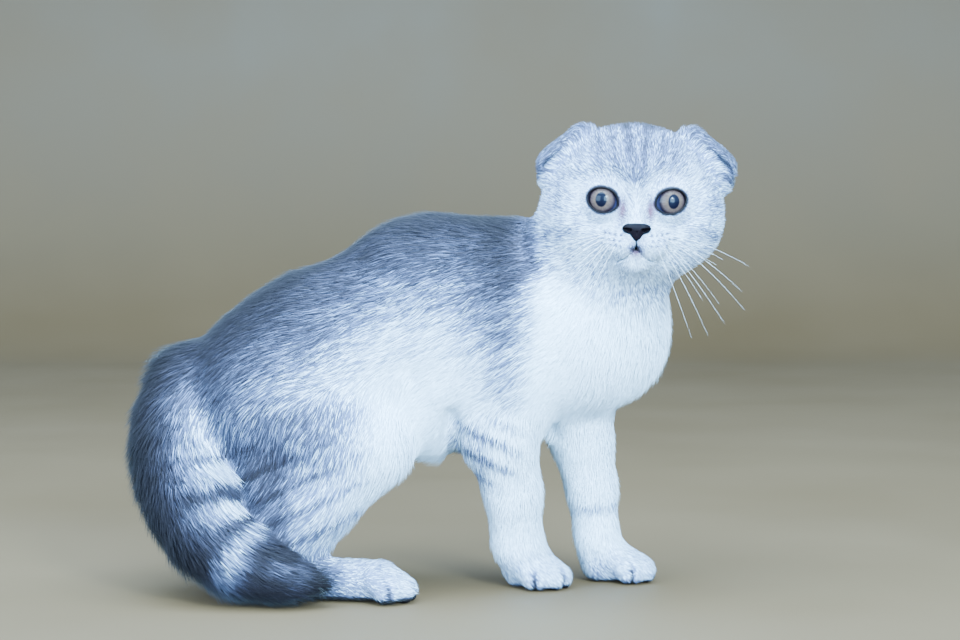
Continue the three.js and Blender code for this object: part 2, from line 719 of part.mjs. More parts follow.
/** One ear as a closed shell, in the head's own frame. */
function earShell(side) {
  const [root, fold, rim] = [EAR_ROOT, EAR_FOLD, EAR_RIM].map(
    (points) => new THREE.CatmullRomCurve3(points.map((p) => new THREE.Vector3(...p))),
  );
  const middle = (t, v) =>
    new THREE.QuadraticBezierCurve3(root.getPoint(t), fold.getPoint(t), rim.getPoint(t)).getPoint(v);
  const rows = [];
  for (let j = 0; j <= EAR_ACROSS; j++) rows.push(j / EAR_ACROSS);
  const positions = [];
  for (const face of [0.5, -0.5]) {
    for (let i = 0; i <= EAR_ALONG; i++) {
      for (const v of rows) {
        const t = i / EAR_ALONG;
        const [before, after] = [Math.max(t - NORMAL_STEP, 0), Math.min(t + NORMAL_STEP, 1)];
        const [inner, outer] = [Math.max(v - NORMAL_STEP, 0), Math.min(v + NORMAL_STEP, 1)];
        const along = middle(after, v).sub(middle(before, v));
        const across = middle(t, outer).sub(middle(t, inner));
        const normal = across.cross(along).normalize();
        const thickness = THREE.MathUtils.lerp(EAR_ROOT_THICKNESS, EAR_RIM_THICKNESS, v);
        const point = middle(t, v).addScaledVector(normal, face * thickness);
        positions.push(side * point.x + FACE_SHIFT, point.y, point.z);
      }
    }
  }
  const width = EAR_ACROSS + 1;
  const layer = (EAR_ALONG + 1) * width;
  const index = [];
  const quad = (a, b, c, d) => index.push(...(side > 0 ? [c, b, a, d, c, a] : [a, b, c, a, c, d]));
  for (let i = 0; i < EAR_ALONG; i++) {
    for (let j = 0; j < EAR_ACROSS; j++) {
      const a = i * width + j;
      quad(a, a + width, a + width + 1, a + 1);
      quad(layer + a, layer + a + 1, layer + a + width + 1, layer + a + width);
    }
  }
  for (let i = 0; i < EAR_ALONG; i++) {
    const [a, b] = [i * width, i * width + EAR_ACROSS];
    quad(a, layer + a, layer + a + width, a + width);
    quad(b, b + width, layer + b + width, layer + b);
  }
  for (let j = 0; j < EAR_ACROSS; j++) {
    const [a, b] = [j, EAR_ALONG * width + j];
    quad(a, a + 1, layer + a + 1, layer + a);
    quad(b, layer + b, layer + b + 1, b + 1);
  }
  const geometry = new THREE.BufferGeometry();
  geometry.setAttribute("position", new THREE.Float32BufferAttribute(positions, 3));
  geometry.setIndex(index);
  return onHead(geometry);
}

// Head
const clearOfEyes = (solid) => eyeHoles.reduce((left, hole) => left.subtract(hole), solid);
const muzzleRegion = (grow) => {
  const [low, high] = MUZZLE_BLOCK;
  const size = high.map((v, axis) => v - low[axis] + 2 * grow);
  const centre = high.map((v, axis) => (v + low[axis]) / 2);
  return onHead(new THREE.BoxGeometry(...size).translate(...centre));
};
const keepHead = (solid) =>
  clearOfEyes(solid.intersect(beyond(HEAD_CUT, HALF_GAP)).subtract(beyond(FACE_CUT, -HALF_GAP)));
const keepFace = (solid) =>
  clearOfEyes(
    solid
      .intersect(beyond(HEAD_CUT, HALF_GAP))
      .intersect(beyond(FACE_CUT, HALF_GAP))
      .subtract(muzzleRegion(HALF_GAP)),
  );
add("head", bodyPiece(BOX.head, CELL.head, keepHead), SILVER);
add("face", bodyPiece(BOX.face, CELL.face, keepFace), SILVER);
const clearOfHead = mesh(body, BOX.head, CELL.head, CUT_GAP);
for (const [name, side] of Object.entries(EYES)) {
  add(`ear_${name}`, largest(earShell(side).subtract(clearOfHead)), SILVER);
}

// Muzzle, with the nose leather let in and the line of the mouth cut as a groove

const LOOK_AHEAD = 10; // the search for the face starts this far in front of the nose
const FACE_TOLERANCE = 0.01;

/** A point of the face, in the part's frame, from how far to the side and up it lies. */
function onFace(side, up) {
  let [inside, outside] = [0, NOSE_REACH + LOOK_AHEAD];
  while (outside - inside > FACE_TOLERANCE) {
    const forward = (inside + outside) / 2;
    if (headLocal(side, forward, up) < 0) inside = forward;
    else outside = forward;
  }
  return headPoint(side, inside, up);
}

const BAR_END = 1; // rows of faces on each rounded end
const BAR_FACETS = 6;

/** A round bar between two points. */
function bar(from, to, radius) {
  const along = to.clone().sub(from);
  const geometry = new THREE.CapsuleGeometry(radius, along.length(), BAR_END, BAR_FACETS);
  const turn = new THREE.Quaternion().setFromUnitVectors(
    new THREE.Vector3(0, 1, 0),
    along.clone().normalize(),
  );
  const middle = from.clone().lerp(to, 0.5);
  return solidFrom(geometry.applyQuaternion(turn).translate(...middle.toArray()));
}

// From the cleft to the corner of the mouth: how far to the side, and how far below the cleft
const LIP = [[0, 0], [3.2, 2], [6, 4.4], [9, 5.4]];
const lipLine = (side) =>
  LIP.map(([out, down]) => onFace(FACE_SHIFT + side * out, MOUTH_UP - down));
const cleft = [NOSE_FOOT, MOUTH_UP].map((up) => onFace(FACE_SHIFT, up));
const grooves = [cleft, lipLine(1), lipLine(-1)].flatMap((line) =>
  line.slice(1).map((point, i) => bar(line[i], point, MOUTH_GROOVE)),
);
const noseRoom = mesh(nose, BOX.nose, CELL.nose, CUT_GAP);
const keepMuzzle = (solid) =>
  [noseRoom, ...grooves].reduce(
    (left, other) => left.subtract(other),
    clearOfEyes(solid.intersect(muzzleRegion(-HALF_GAP))),
  );
add("muzzle", bodyPiece(BOX.muzzle, CELL.muzzle, keepMuzzle), SILVER);
const nostrils = Object.values(EYES).map((side) => {
  const [out, forward, up] = NOSTRIL.at;
  const hollow = new THREE.IcosahedronGeometry(1, 1).scale(...NOSTRIL.half);
  return onHead(hollow.translate(FACE_SHIFT + side * out, forward, up));
});
const leather = nostrils.reduce(
  (left, hollow) => left.subtract(hollow),
  mesh(nose, BOX.nose, CELL.nose),
);
add("nose", largest(leather), LEATHERY);

// Neck
const keepNeck = (solid) =>
  solid.intersect(beyond(NECK_CUT, HALF_GAP)).subtract(beyond(HEAD_CUT, -HALF_GAP));
add("neck", bodyPiece(BOX.neck, CELL.neck, keepNeck), SILVER);

// Torso
const legRegions = Object.values(LEGS).map(({ planes }) => region(planes, HALF_GAP));
const keepTorso = (solid) =>
  [beyond(NECK_CUT, -HALF_GAP), beyond(HEAD_CUT, -HALF_GAP), ...legRegions].reduce(
    (left, other) => left.subtract(other),
    solid,
  );
add("torso", bodyPiece(BOX.torso, CELL.torso, keepTorso), SILVER);

// Legs and paws
const ROOM_OVER_PAW = 16; // from the cut above a paw to the top of the box it is meshed in
for (const [name, { planes, box, pawCut }] of Object.entries(LEGS)) {
  const own = region(planes, -HALF_GAP).intersect(above);
  const keepLeg = (solid) => solid.intersect(own).intersect(beyond(pawCut, HALF_GAP));
  const keepPaw = (solid) => solid.intersect(own).subtract(beyond(pawCut, -HALF_GAP));
  add(`${name}_leg`, bodyPiece(boxOf(...box), CELL.leg, keepLeg), SILVER);
  const [low, high] = box;
  const footBox = boxOf(low, [high[0], high[1], pawCut.at[2] + ROOM_OVER_PAW]);
  add(`${name}_paw`, bodyPiece(footBox, CELL.paw, keepPaw), SILVER);
}

// Tail
const tailWhole = taken.reduce(
  (left, solid) => left.subtract(solid),
  mesh(tail, BOX.tail, CELL.tail).intersect(above),
);
const [cutMiddle, cutTip] = TAIL_CUTS;
const tailRoot = tailWhole.subtract(beyond(cutMiddle, -HALF_GAP));
const tailRest = tailWhole.intersect(beyond(cutMiddle, HALF_GAP));
add("tail_root", largest(tailRoot), DARK);
add("tail_middle", largest(tailRest.subtract(beyond(cutTip, -HALF_GAP))), DARK);
add("tail_tip", largest(tailRest.intersect(beyond(cutTip, HALF_GAP))), DARK);

const bounds = new THREE.Box3().setFromObject(cat);
const middle = bounds.getCenter(new THREE.Vector3());
cat.position.set(-middle.x, -middle.y, -bounds.min.z);

export default cat;
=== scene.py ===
"""A shorthaired fold-eared silver kitten, life size, as a still museum model.

The body stands side-on with its back arched, the head is turned to face sideways and the tail
curls forward along the floor. One skin stands in for all the flesh, and short tufts of solid
mesh lie over it as the coat. The anatomy is worked out in millimetres in the sculptor's frame,
which is the part's frame moved by a few millimetres, and every mesh is finished in metres.
"""

import logging
import math
from dataclasses import dataclass, field
from enum import Enum

import bpy
import numpy as np
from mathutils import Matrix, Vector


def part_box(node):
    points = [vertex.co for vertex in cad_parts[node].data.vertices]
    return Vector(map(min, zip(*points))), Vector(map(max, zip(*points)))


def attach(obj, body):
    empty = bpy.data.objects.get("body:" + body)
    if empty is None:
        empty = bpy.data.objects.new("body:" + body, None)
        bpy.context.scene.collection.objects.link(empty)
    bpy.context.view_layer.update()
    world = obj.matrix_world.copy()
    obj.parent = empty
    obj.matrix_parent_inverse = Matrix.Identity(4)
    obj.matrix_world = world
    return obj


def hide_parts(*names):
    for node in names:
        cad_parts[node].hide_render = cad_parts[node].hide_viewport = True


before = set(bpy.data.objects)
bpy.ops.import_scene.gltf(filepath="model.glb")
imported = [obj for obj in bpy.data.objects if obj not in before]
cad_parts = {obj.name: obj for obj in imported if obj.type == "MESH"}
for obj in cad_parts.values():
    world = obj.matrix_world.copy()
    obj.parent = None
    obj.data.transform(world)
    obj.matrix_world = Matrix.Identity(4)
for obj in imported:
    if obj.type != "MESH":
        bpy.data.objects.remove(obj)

import openvdb
from mathutils import Vector
from mathutils.bvhtree import BVHTree

LOG = logging.getLogger("kitten")
BODY = "root"
MM = 0.001
BAKE_MAP = "OFBake"
BEFORE_FACE = 60.0  # how far ahead of the head's centre nothing is left of the face
GRAIN = (0.3, 0.7)  # the stretch of a noise that is spread over a finish

Array = np.ndarray
Pair = tuple[float, float]
Triple = tuple[float, float, float]
Object = bpy.types.Object
Material = bpy.types.Material
Socket = bpy.types.NodeSocket


class Zone(Enum):
    """A stretch of the coat that is one length and lies one way."""

    HEAD = "head"
    FACE = "face"
    MUZZLE = "muzzle"
    NECK = "neck"
    TORSO = "torso"
    FRONT_LEG = "front_leg"
    FRONT_PAW = "front_paw"
    HIND_LEG = "hind_leg"
    HIND_PAW = "hind_paw"
    TAIL = "tail"
    EAR = "ear"


class Side(Enum):
    """The animal's left or right, as a sign along the head's own side axis."""

    LEFT = 1
    RIGHT = -1


FLESH: dict[str, Zone] = {
    "head": Zone.HEAD,
    "face": Zone.FACE,
    "muzzle": Zone.MUZZLE,
    "neck": Zone.NECK,
    "torso": Zone.TORSO,
    "front_near_leg": Zone.FRONT_LEG,
    "front_near_paw": Zone.FRONT_PAW,
    "front_far_leg": Zone.FRONT_LEG,
    "front_far_paw": Zone.FRONT_PAW,
    "hind_near_leg": Zone.HIND_LEG,
    "hind_near_paw": Zone.HIND_PAW,
    "hind_far_leg": Zone.HIND_LEG,
    "hind_far_paw": Zone.HIND_PAW,
    "tail_root": Zone.TAIL,
    "tail_middle": Zone.TAIL,
    "tail_tip": Zone.TAIL,
    "ear_left": Zone.EAR,
    "ear_right": Zone.EAR,
}
SOCKET_FILLERS = ("eye_left", "eye_right", "lids_left", "lids_right", "nose")


def unit(vectors: Array) -> Array:
    """Scale vectors to length one."""
    return vectors / np.maximum(np.linalg.norm(vectors, axis=-1, keepdims=True), 1e-9)


def smoothstep(low: float, high: float, values: Array) -> Array:
    """Ease from 0 at low to 1 at high."""
    t = np.clip((values - low) / (high - low), 0, 1)
    return t * t * (3 - 2 * t)


def lerp(a: Array, b: Array, share: Array) -> Array:
    """Mix a and b by a share of b."""
    return a + (b - a) * share


def soft_min(a: Array, b: Array, fillet: float) -> Array:
    """The rounded union of two distances, with a fillet of about the given size."""
    h = np.maximum(fillet - np.abs(a - b), 0) / fillet
    return np.minimum(a, b) - h * h * fillet * 0.25


def along_segment(points: Array, start: Array, end: Array) -> tuple[Array, Array]:
    """Find the nearest place on a straight line.

    Args:
        points: places, one row for each.
        start: the line's first end.
        end: its other end.

    Returns:
        How far along the line the nearest place is, 0 to 1, and the step from it to each point.
    """
    way = end - start
    share = np.clip(((points - start) @ way) / (way @ way), 0, 1)
    return share, points - (start + share[:, None] * way)


def between(at: Array, places: Array, rows: Array) -> Array:
    """Read a table of rows between the places it is given for."""
    return np.stack([np.interp(at, places, column) for column in rows.T], axis=1)


def hashed(cells: Array, seed: int) -> Array:
    """A fixed number from 0 to 1 for each whole-numbered cell.

    Args:
        cells: whole numbers, one row of three for each cell.
        seed: picks one of many patterns.

    Returns:
        One number for each cell.
    """
    x, y, z = (cells[:, i].astype(np.int64).astype(np.uint64) for i in range(3))
    h = x * np.uint64(73856093) ^ y * np.uint64(19349663) ^ z * np.uint64(83492791)
    h = (h ^ np.uint64(seed * 2654435761 % 2**32)) * np.uint64(0x9E3779B97F4A7C15)
    h ^= h >> np.uint64(29)
    h *= np.uint64(0xBF58476D1CE4E5B9)
    h ^= h >> np.uint64(32)
    return (h & np.uint64(0xFFFFFF)).astype(np.float64) / float(0xFFFFFF)


def noise(points: Array, seed: int) -> Array:
    """Smooth noise from -1 to 1 with features one unit across.

    Args:
        points: where the noise is read, one row of three for each point.
        seed: picks one of many patterns.

    Returns:
        One number for each point.
    """
    cell = np.floor(points)
    t = points - cell
    t = t * t * (3 - 2 * t)
    total = np.zeros(len(points))
    for corner in np.ndindex(2, 2, 2):
        offset = np.array(corner)
        weight = np.prod(np.where(offset == 1, t, 1 - t), axis=1)
        total += weight * hashed(cell + offset, seed)
    return total * 2 - 1


@dataclass(frozen=True)
class Part:
    """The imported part, and where the sculptor's frame lies in it."""

    anchor: Triple = (104.304, -43.567, 175.646)  # left eye's centre
    anchor_node: str = "eye_left"

    @property
    def shift(self) -> Array:
        """The part's frame less the sculptor's, in millimetres."""
        low, high = (np.array(corner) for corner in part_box(self.anchor_node))
        return (low + high) / 2 / MM - np.array(self.anchor)

    def node(self, name: str) -> tuple[Array, Array]:
        """Read a node's surface.

        Args:
            name: the node.

        Returns:
            Its points in the sculptor's frame, merged, and its triangles.
        """
        mesh = bpy.data.objects[name].data
        mesh.calc_loop_triangles()
        points = np.empty(len(mesh.vertices) * 3)
        mesh.vertices.foreach_get("co", points)
        corners = np.empty(len(mesh.loop_triangles) * 3, dtype=np.int32)
        mesh.loop_triangles.foreach_get("vertices", corners)
        points = points.reshape(-1, 3) / MM - self.shift
        _, first, merged = np.unique(
            np.round(points, 3), axis=0, return_index=True, return_inverse=True
        )
        return points[first], merged.ravel()[corners].reshape(-1, 3)


PART = Part()


@dataclass(frozen=True)
class Volume:
    """Numbers on an even lattice of sample points, in the sculptor's frame."""

    origin: Array
    step: float
    values: Array

    def at(self, points: Array) -> Array:
        """Read the volume between its sample points.

        Args:
            points: where it is read, one row of three for each point.

        Returns:
            One number, or one row of numbers, for each point.
        """
        size = np.array(self.values.shape[:3])
        place = np.clip((points - self.origin) / self.step, 0, size - 1.001)
        cell = place.astype(int)
        t = place - cell
        total = 0.0
        for corner in np.ndindex(2, 2, 2):
            offset = np.array(corner)
            weight = np.prod(np.where(offset == 1, t, 1 - t), axis=1)
            i, j, k = (cell + offset).T
            value = self.values[i, j, k]
            total = total + (weight if value.ndim == 1 else weight[:, None]) * value
        return total

    def blurred(self, radius: float) -> "Volume":
        """Smooth the volume.

        Args:
            radius: the spread of the blur in millimetres.

        Returns:
            The smoothed volume.
        """
        spread = radius / self.step
        reach = max(1, math.ceil(spread * 2.5))
        taps = np.exp(-0.5 * (np.arange(-reach, reach + 1) / spread) ** 2)
        taps /= taps.sum()
        values = self.values
        for axis in range(3):
            length = values.shape[axis]
            padding = [(reach, reach) if a == axis else (0, 0) for a in range(values.ndim)]
            padded = np.pad(values, padding, mode="edge")
            parts = (np.take(padded, range(i, i + length), axis=axis) for i in range(len(taps)))
            values = sum(tap * part for tap, part in zip(taps.astype(np.float32), parts))
        return Volume(self.origin, self.step, values)


@dataclass(frozen=True)
class Frame:
    """The box in the sculptor's frame that holds the animal with room to spare."""

    low: Triple = (-144, -80, -8)
    high: Triple = (146, 68, 222)

    def distance(self, points: Array, faces: Array, step: float, band: float) -> Volume:
        """Measure how far each sample point is from a closed surface.

        Args:
            points: the surface's points.
            faces: its triangles or quads.
            step: the spacing of the samples.
            band: how far out the distance is kept; beyond it the number stays the same.

        Returns:
            The distances, negative inside.
        """
        corners = {"triangles" if faces.shape[1] == 3 else "quads": faces.astype(np.uint32)}
        grid = openvdb.FloatGrid.createLevelSetFromPolygons(
            points.astype(np.float32),
            transform=openvdb.createLinearTransform(voxelSize=step),
            halfWidth=band / step,
            **corners,
        )
        start = np.floor(np.array(self.low) / step).astype(int)
        size = np.ceil(np.array(self.high) / step).astype(int) - start + 1
        values = np.empty(tuple(size), dtype=np.float32)
        grid.copyToArray(values, ijk=tuple(int(i) for i in start))
        return Volume(start * step, step, values)


FRAME = Frame()


def lattice_points(axes: list[Array]) -> tuple[Array, tuple]:
    """List every crossing of three sets of places, and the shape of the block they make."""
    mesh = np.meshgrid(*axes, indexing="ij")
    return np.stack([m.ravel() for m in mesh], axis=1), mesh[0].shape


def outward(points: Array, quads: Array) -> Array:
    """Turn the faces of a closed surface outwards.

    Args:
        points: the surface's points.
        quads: its faces, all turned alike.

    Returns:
        The faces, turned over if they faced inwards.
    """
    a, b, c, d = (points[quads[:, i]] for i in range(4))
    volume = np.einsum("ij,ij->i", a, np.cross(b, c) + np.cross(c, d)).sum()
    return quads[:, ::-1] if volume < 0 else quads


def globe(rings: int, segments: int) -> tuple[Array, Array]:
    """Make a ball of radius one, each pole closed by quads over two segments.

    Args:
        rings: how many steps from pole to pole.
        segments: how many steps round.

    Returns:
        Its points, ring by ring from the top with the poles last, and its quads.
    """
    angle = np.linspace(0, math.pi, rings + 1)[1:-1]
    turn = np.arange(segments) * 2 * math.pi / segments
    a, t = (grid.ravel() for grid in np.meshgrid(angle, turn, indexing="ij"))
    points = np.stack([np.sin(a) * np.cos(t), np.sin(a) * np.sin(t), np.cos(a)], axis=1)
    points = np.concatenate([points, [[0, 0, 1], [0, 0, -1]]])
    n, pole = segments, (rings - 1) * segments
    i, j = (grid.ravel() for grid in np.indices((rings - 2, n)))
    after, beside = (i + 1) * n, (j + 1) % n
    quads = np.stack([i * n + j, after + j, after + beside, i * n + beside], 1)
    j = np.arange(0, n, 2)
    fan = [j, (j + 1) % n, (j + 2) % n]
    top = np.stack([np.full(len(j), pole), *fan], 1)
    low = np.stack([np.full(len(j), pole + 1), *(pole - n + k for k in fan[::-1])], 1)
    return points, np.concatenate([quads, top, low])


def quads_of(values: Array) -> tuple[Array, Array]:
    """Mesh the zero surface of a block of distances.

    Args:
        values: distances, negative inside.

    Returns:
        Points in steps of the block, and the quads, facing outwards.
    """
    limit = 3.0  # steps beyond which only the sign matters
    grid = openvdb.FloatGrid(background=limit)
    grid.copyFromArray(np.clip(values, -limit, limit).astype(np.float32))
    points, quads = grid.convertToQuads(isovalue=0.0)
    points, quads = points.astype(np.float64), quads.astype(np.int64)
    return points, outward(points, quads)


def largest_shell(points: Array, quads: Array) -> tuple[Array, Array]:
    """Keep only the largest connected surface.

    Args:
        points: the points of all surfaces.
        quads: their faces.

    Returns:
        The kept points and faces.
    """
    label = np.arange(len(points))
    edges = np.concatenate([quads[:, [i, (i + 1) % 4]] for i in range(4)])
    while True:
        lowest = np.minimum(label[edges[:, 0]], label[edges[:, 1]])
        before = label.copy()
        np.minimum.at(label, edges[:, 0], lowest)
        np.minimum.at(label, edges[:, 1], lowest)
        label = label[label]
        if np.array_equal(label, before):
            break
    names, counts = np.unique(label, return_counts=True)
    kept = label == names[np.argmax(counts)]
    renumbered = np.cumsum(kept) - 1
    return points[kept], renumbered[quads[kept[quads[:, 0]]]]


def vertex_normals(points: Array, faces: Array) -> Array:
    """The outward direction at each point of a surface of quads.

    Args:
        points: the surface's points.
        faces: its quads.

    Returns:
        One direction for each point.
    """
    across = points[faces[:, 2]] - points[faces[:, 0]]
    along = points[faces[:, 3]] - points[faces[:, 1]]
    facing = np.cross(across, along)
    total = np.zeros_like(points)
    for i in range(faces.shape[1]):
        np.add.at(total, faces[:, i], facing)
    return unit(total)


def show(made: Object) -> Object:
    """Put an object in the scene."""
    bpy.context.scene.collection.objects.link(made)
    return made


def piece(name: str, points: Array, faces: Array) -> Object:
    """Make a smooth-shaded object that rides on the body.

    Args:
        name: the object's name.
        points: its points in the sculptor's frame.
        faces: its triangles or quads, facing outwards.

    Returns:
        The object.
    """
    mesh = bpy.data.meshes.new(name)
    mesh.vertices.add(len(points))
    mesh.vertices.foreach_set("co", ((points + PART.shift) * MM).astype(np.float32).ravel())
    mesh.loops.add(faces.size)
    mesh.loops.foreach_set("vertex_index", faces.astype(np.int32).ravel())
    mesh.polygons.add(len(faces))
    starts = np.arange(len(faces), dtype=np.int32) * faces.shape[1]
    mesh.polygons.foreach_set("loop_start", starts)
    mesh.polygons.foreach_set("use_smooth", np.ones(len(faces), dtype=bool))
    mesh.update(calc_edges=True)
    made = show(bpy.data.objects.new(name, mesh))
    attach(made, BODY)
    return made


def paint(made: Object, name: str, colours: Array) -> None:
    """Store a colour or a vector for each point of an object.

    Args:
        made: the object.
        name: the attribute's name.
        colours: one row of three for each point.
    """
    layer = made.data.attributes.new(name, "FLOAT_COLOR", "POINT")
    rows = np.ones((len(colours), 4), dtype=np.float32)
    rows[:, :3] = colours
    layer.data.foreach_set("color", rows.ravel())


class Nodes:
    """A node material under construction."""

    def __init__(self, name: str) -> None:
        """Start a material with a shader and an output.

        Args:
            name: the material's name.
        """
        self.material = bpy.data.materials.new(name)
        self.material.use_nodes = True
        self.tree = self.material.node_tree
        self.tree.nodes.clear()
        self.shader = self.tree.nodes.new("ShaderNodeBsdfPrincipled")
        output = self.tree.nodes.new("ShaderNodeOutputMaterial")
        self.tree.links.new(self.shader.outputs["BSDF"], output.inputs["Surface"])

    def add(self, kind: str, inputs: dict | None = None, **settings: object) -> bpy.types.Node:
        """Add a node.

        Args:
            kind: Blender's name of the node type, after the word ShaderNode.
            inputs: for each input's name or number, a value or the output that feeds it.
            **settings: the node's own settings.

        Returns:
            The node.
        """
        node = self.tree.nodes.new("ShaderNode" + kind)
        for name, value in settings.items():
            setattr(node, name, value)
        for key, value in (inputs or {}).items():
            self.feed(node, key, value)
        return node

    def feed(self, node: bpy.types.Node, key: str | int, value: object) -> None:
        """Set a node's input, or link an output to it.

        Args:
            node: the node.
            key: the input's name or number.
            value: a value, or the output that feeds the input.
        """
        if isinstance(value, Socket):
            self.tree.links.new(value, node.inputs[key])
        else:
            node.inputs[key].default_value = value

    def shade(self, **values: object) -> None:
        """Set or link the shader's inputs, named with underscores for spaces."""
        for key, value in values.items():
            self.feed(self.shader, key.replace("_", " "), value)

    def mix(self, share: object, a: object, b: object, blend: str = "MIX") -> Socket:
        """Mix two colours.

        Args:
            share: how much of the second shows.
            a: the first colour.
            b: the second colour.
            blend: Blender's name of the way they mix.

        Returns:
            The mixed colour.
        """
        node = self.add("Mix", data_type="RGBA", blend_type=blend)
        for socket, value in zip((node.inputs[0], node.inputs[6], node.inputs[7]), (share, a, b)):
            if isinstance(value, Socket):
                self.tree.links.new(value, socket)
            else:
                socket.default_value = value
        return node.outputs[2]

    def math(self, operation: str, *values: object) -> Socket:
        """Work a sum on numbers and return its result."""
        node = self.add("Math", dict(enumerate(values)), operation=operation)
        return node.outputs[0]

    def spread(self, value: object, low: float, high: float, to: tuple = (0, 1)) -> object:
        """Stretch the range from low to high over the range to, and clamp it.

        Args:
            value: the number.
            low: the low end of its range.
            high: the high end.
            to: what the ends become.

        Returns:
            The stretched number.
        """
        names = ("Value", "From Min", "From Max", "To Min", "To Max")
        node = self.add("MapRange", dict(zip(names, (value, low, high, *to))))
        return node.outputs["Result"]

    def ramp(self, share: object, stops: list[tuple[float, tuple]]) -> Socket:
        """Turn a number into a colour.

        Args:
            share: the number, 0 to 1.
            stops: the colour at each place, from low to high.

        Returns:
            The colour.
        """
        node = self.add("ValToRGB", {"Fac": share})
        elements = node.color_ramp.elements
        for place, _ in stops[2:]:
            elements.new(place)
        for element, (place, colour) in zip(elements, sorted(stops)):
            element.position = place
            element.color = (*colour, 1.0)
        return node.outputs["Color"]

    def grain(self, scale: float, detail: float) -> Socket:
        """Fine noise that stays fixed to the object."""
        place = self.add("TexCoord").outputs["Object"]
        return self.add("TexNoise", {"Vector": place, "Scale": scale, "Detail": detail}).outputs["Fac"]

    def bump(self, height: object, distance: float, strength: float) -> None:
        """Raise the surface's shading by a height in metres."""
        node = self.add("Bump", {"Height": height, "Distance": distance, "Strength": strength})
        self.shade(Normal=node.outputs["Normal"])


@dataclass(frozen=True)
class HairFinish:
    """Soft dull hair in the colours painted on it, a little uneven, with a faint sheen."""

    name: str
    grain: Pair  # its scale and its detail
    shade: Pair  # the darkest and the lightest of its grain
    roughness: Pair
    specular: float
    sheen: Pair  # its weight and its roughness
    relief: Pair  # its height in metres and its strength

    def material(self) -> Material:
        """Build the node material.

        Returns:
            The material.
        """
        look = Nodes(self.name)
        tone = look.add("Attribute", attribute_name="Tone").outputs["Color"]
        grain = look.grain(*self.grain)
        look.shade(
            Base_Color=look.mix(1.0, tone, look.spread(grain, *GRAIN, self.shade), "MULTIPLY"),
            Roughness=look.spread(grain, *GRAIN, self.roughness),
            Specular_IOR_Level=self.specular,
            Sheen_Weight=self.sheen[0],
            Sheen_Roughness=self.sheen[1],
        )
        look.bump(grain, *self.relief)
        return look.material


UNDERCOAT = HairFinish(
    "short_undercoat", (900.0, 3.0), (0.8, 1.05), (0.7, 0.9), 0.2, (0.1, 0.5), (0.0008, 0.8)
)
SILVER_HAIR = HairFinish(
    "silver_hair", (700.0, 2.0), (0.9, 1.06), (0.6, 0.8), 0.15, (0.08, 0.4), (0.0003, 0.3)
)


@dataclass(frozen=True)
class SpeckledFinish:
    """A plain surface that is a little uneven in colour and gloss."""

    name: str
    grain: Pair  # its scale and its detail
    colours: tuple  # the colour at each place of the grain
    roughness: Pair

    def material(self) -> Material:
        """Build the node material.

        Returns:
            The material.
        """
        look = Nodes(self.name)
        grain = look.grain(*self.grain)
        look.shade(
            Base_Color=look.ramp(grain, self.colours),
            Roughness=look.spread(grain, *GRAIN, self.roughness),
        )
        return look.material


WHITE_WHISKER = SpeckledFinish(
    "white_whisker", (400.0, 2.0), ((0.3, (0.86, 0.89, 0.93)), (0.7, (0.95, 0.96, 0.98))), (0.3, 0.45)
)
PALE_BACKDROP = SpeckledFinish(
    "pale_backdrop", (5.0, 3.0), ((0.3, (0.08, 0.039, 0.0108)), (0.7, (0.09, 0.044, 0.0128))), (0.6, 0.7)
)


@dataclass(frozen=True)
class DarkSkin:
    """Bare purple-black skin, pebbled and a little moist."""

    name: str
    roughness: float
    gloss: float = 0.22
    pebbles: float = 1500.0
    colours: tuple = ((0.3, (0.002, 0.0008, 0.0014)), (0.75, (0.0046, 0.0016, 0.003)))

    def material(self) -> Material:
        """Build the node material.

        Returns:
            The material.
        """
        look = Nodes(self.name)
        place = look.add("TexCoord").outputs["Object"]
        pebbles = look.add("TexVoronoi", {"Vector": place, "Scale": self.pebbles})
        cloud = look.grain(260.0, 3.0)
        dull = (self.roughness - 0.08, self.roughness + 0.1)
        look.shade(
            Base_Color=look.ramp(cloud, self.colours),
            Roughness=look.spread(cloud, *GRAIN, dull),
            Specular_IOR_Level=self.gloss,
        )
        look.bump(pebbles.outputs["Distance"], 0.00012, 0.6)
        return look.material


@dataclass(frozen=True)
class HeadFrame:
    """The head's own axes: side towards its left, forward and up from its centre."""

    centre: Triple = (90.0, -20.0, 178.0)
    roll: float = 0.023
    turn: float = -0.045
    face_shift: float = 1.5

    @property
    def axes(self) -> Array:
        """One row each for side, forward and up, in the sculptor's frame.

        Returns:
            Three rows of three.
        """
        cr, sr = math.cos(self.roll), math.sin(self.roll)
        ct, st = math.cos(self.turn), math.sin(self.turn)
        roll = np.array([[cr, 0, sr], [0, 1, 0], [-sr, 0, cr]])
        turn = np.array([[ct, -st, 0], [st, ct, 0], [0, 0, 1]])
        start = np.array([[1, 0, 0], [0, -1, 0], [0, 0, 1]], dtype=float)
        return (turn @ roll @ start.T).T

    def local(self, points: Array) -> Array:
        """Points of the sculptor's frame in the head's own."""
        return (points - np.array(self.centre)) @ self.axes.T

    def world(self, local: Array) -> Array:
        """Points of the head's own frame in the sculptor's."""
        return np.asarray(local) @ self.axes + np.array(self.centre)

    def turned(self, local: Array) -> Array:
        """Directions of the head's own frame in the sculptor's."""
        return np.asarray(local) @ self.axes


HEAD = HeadFrame()


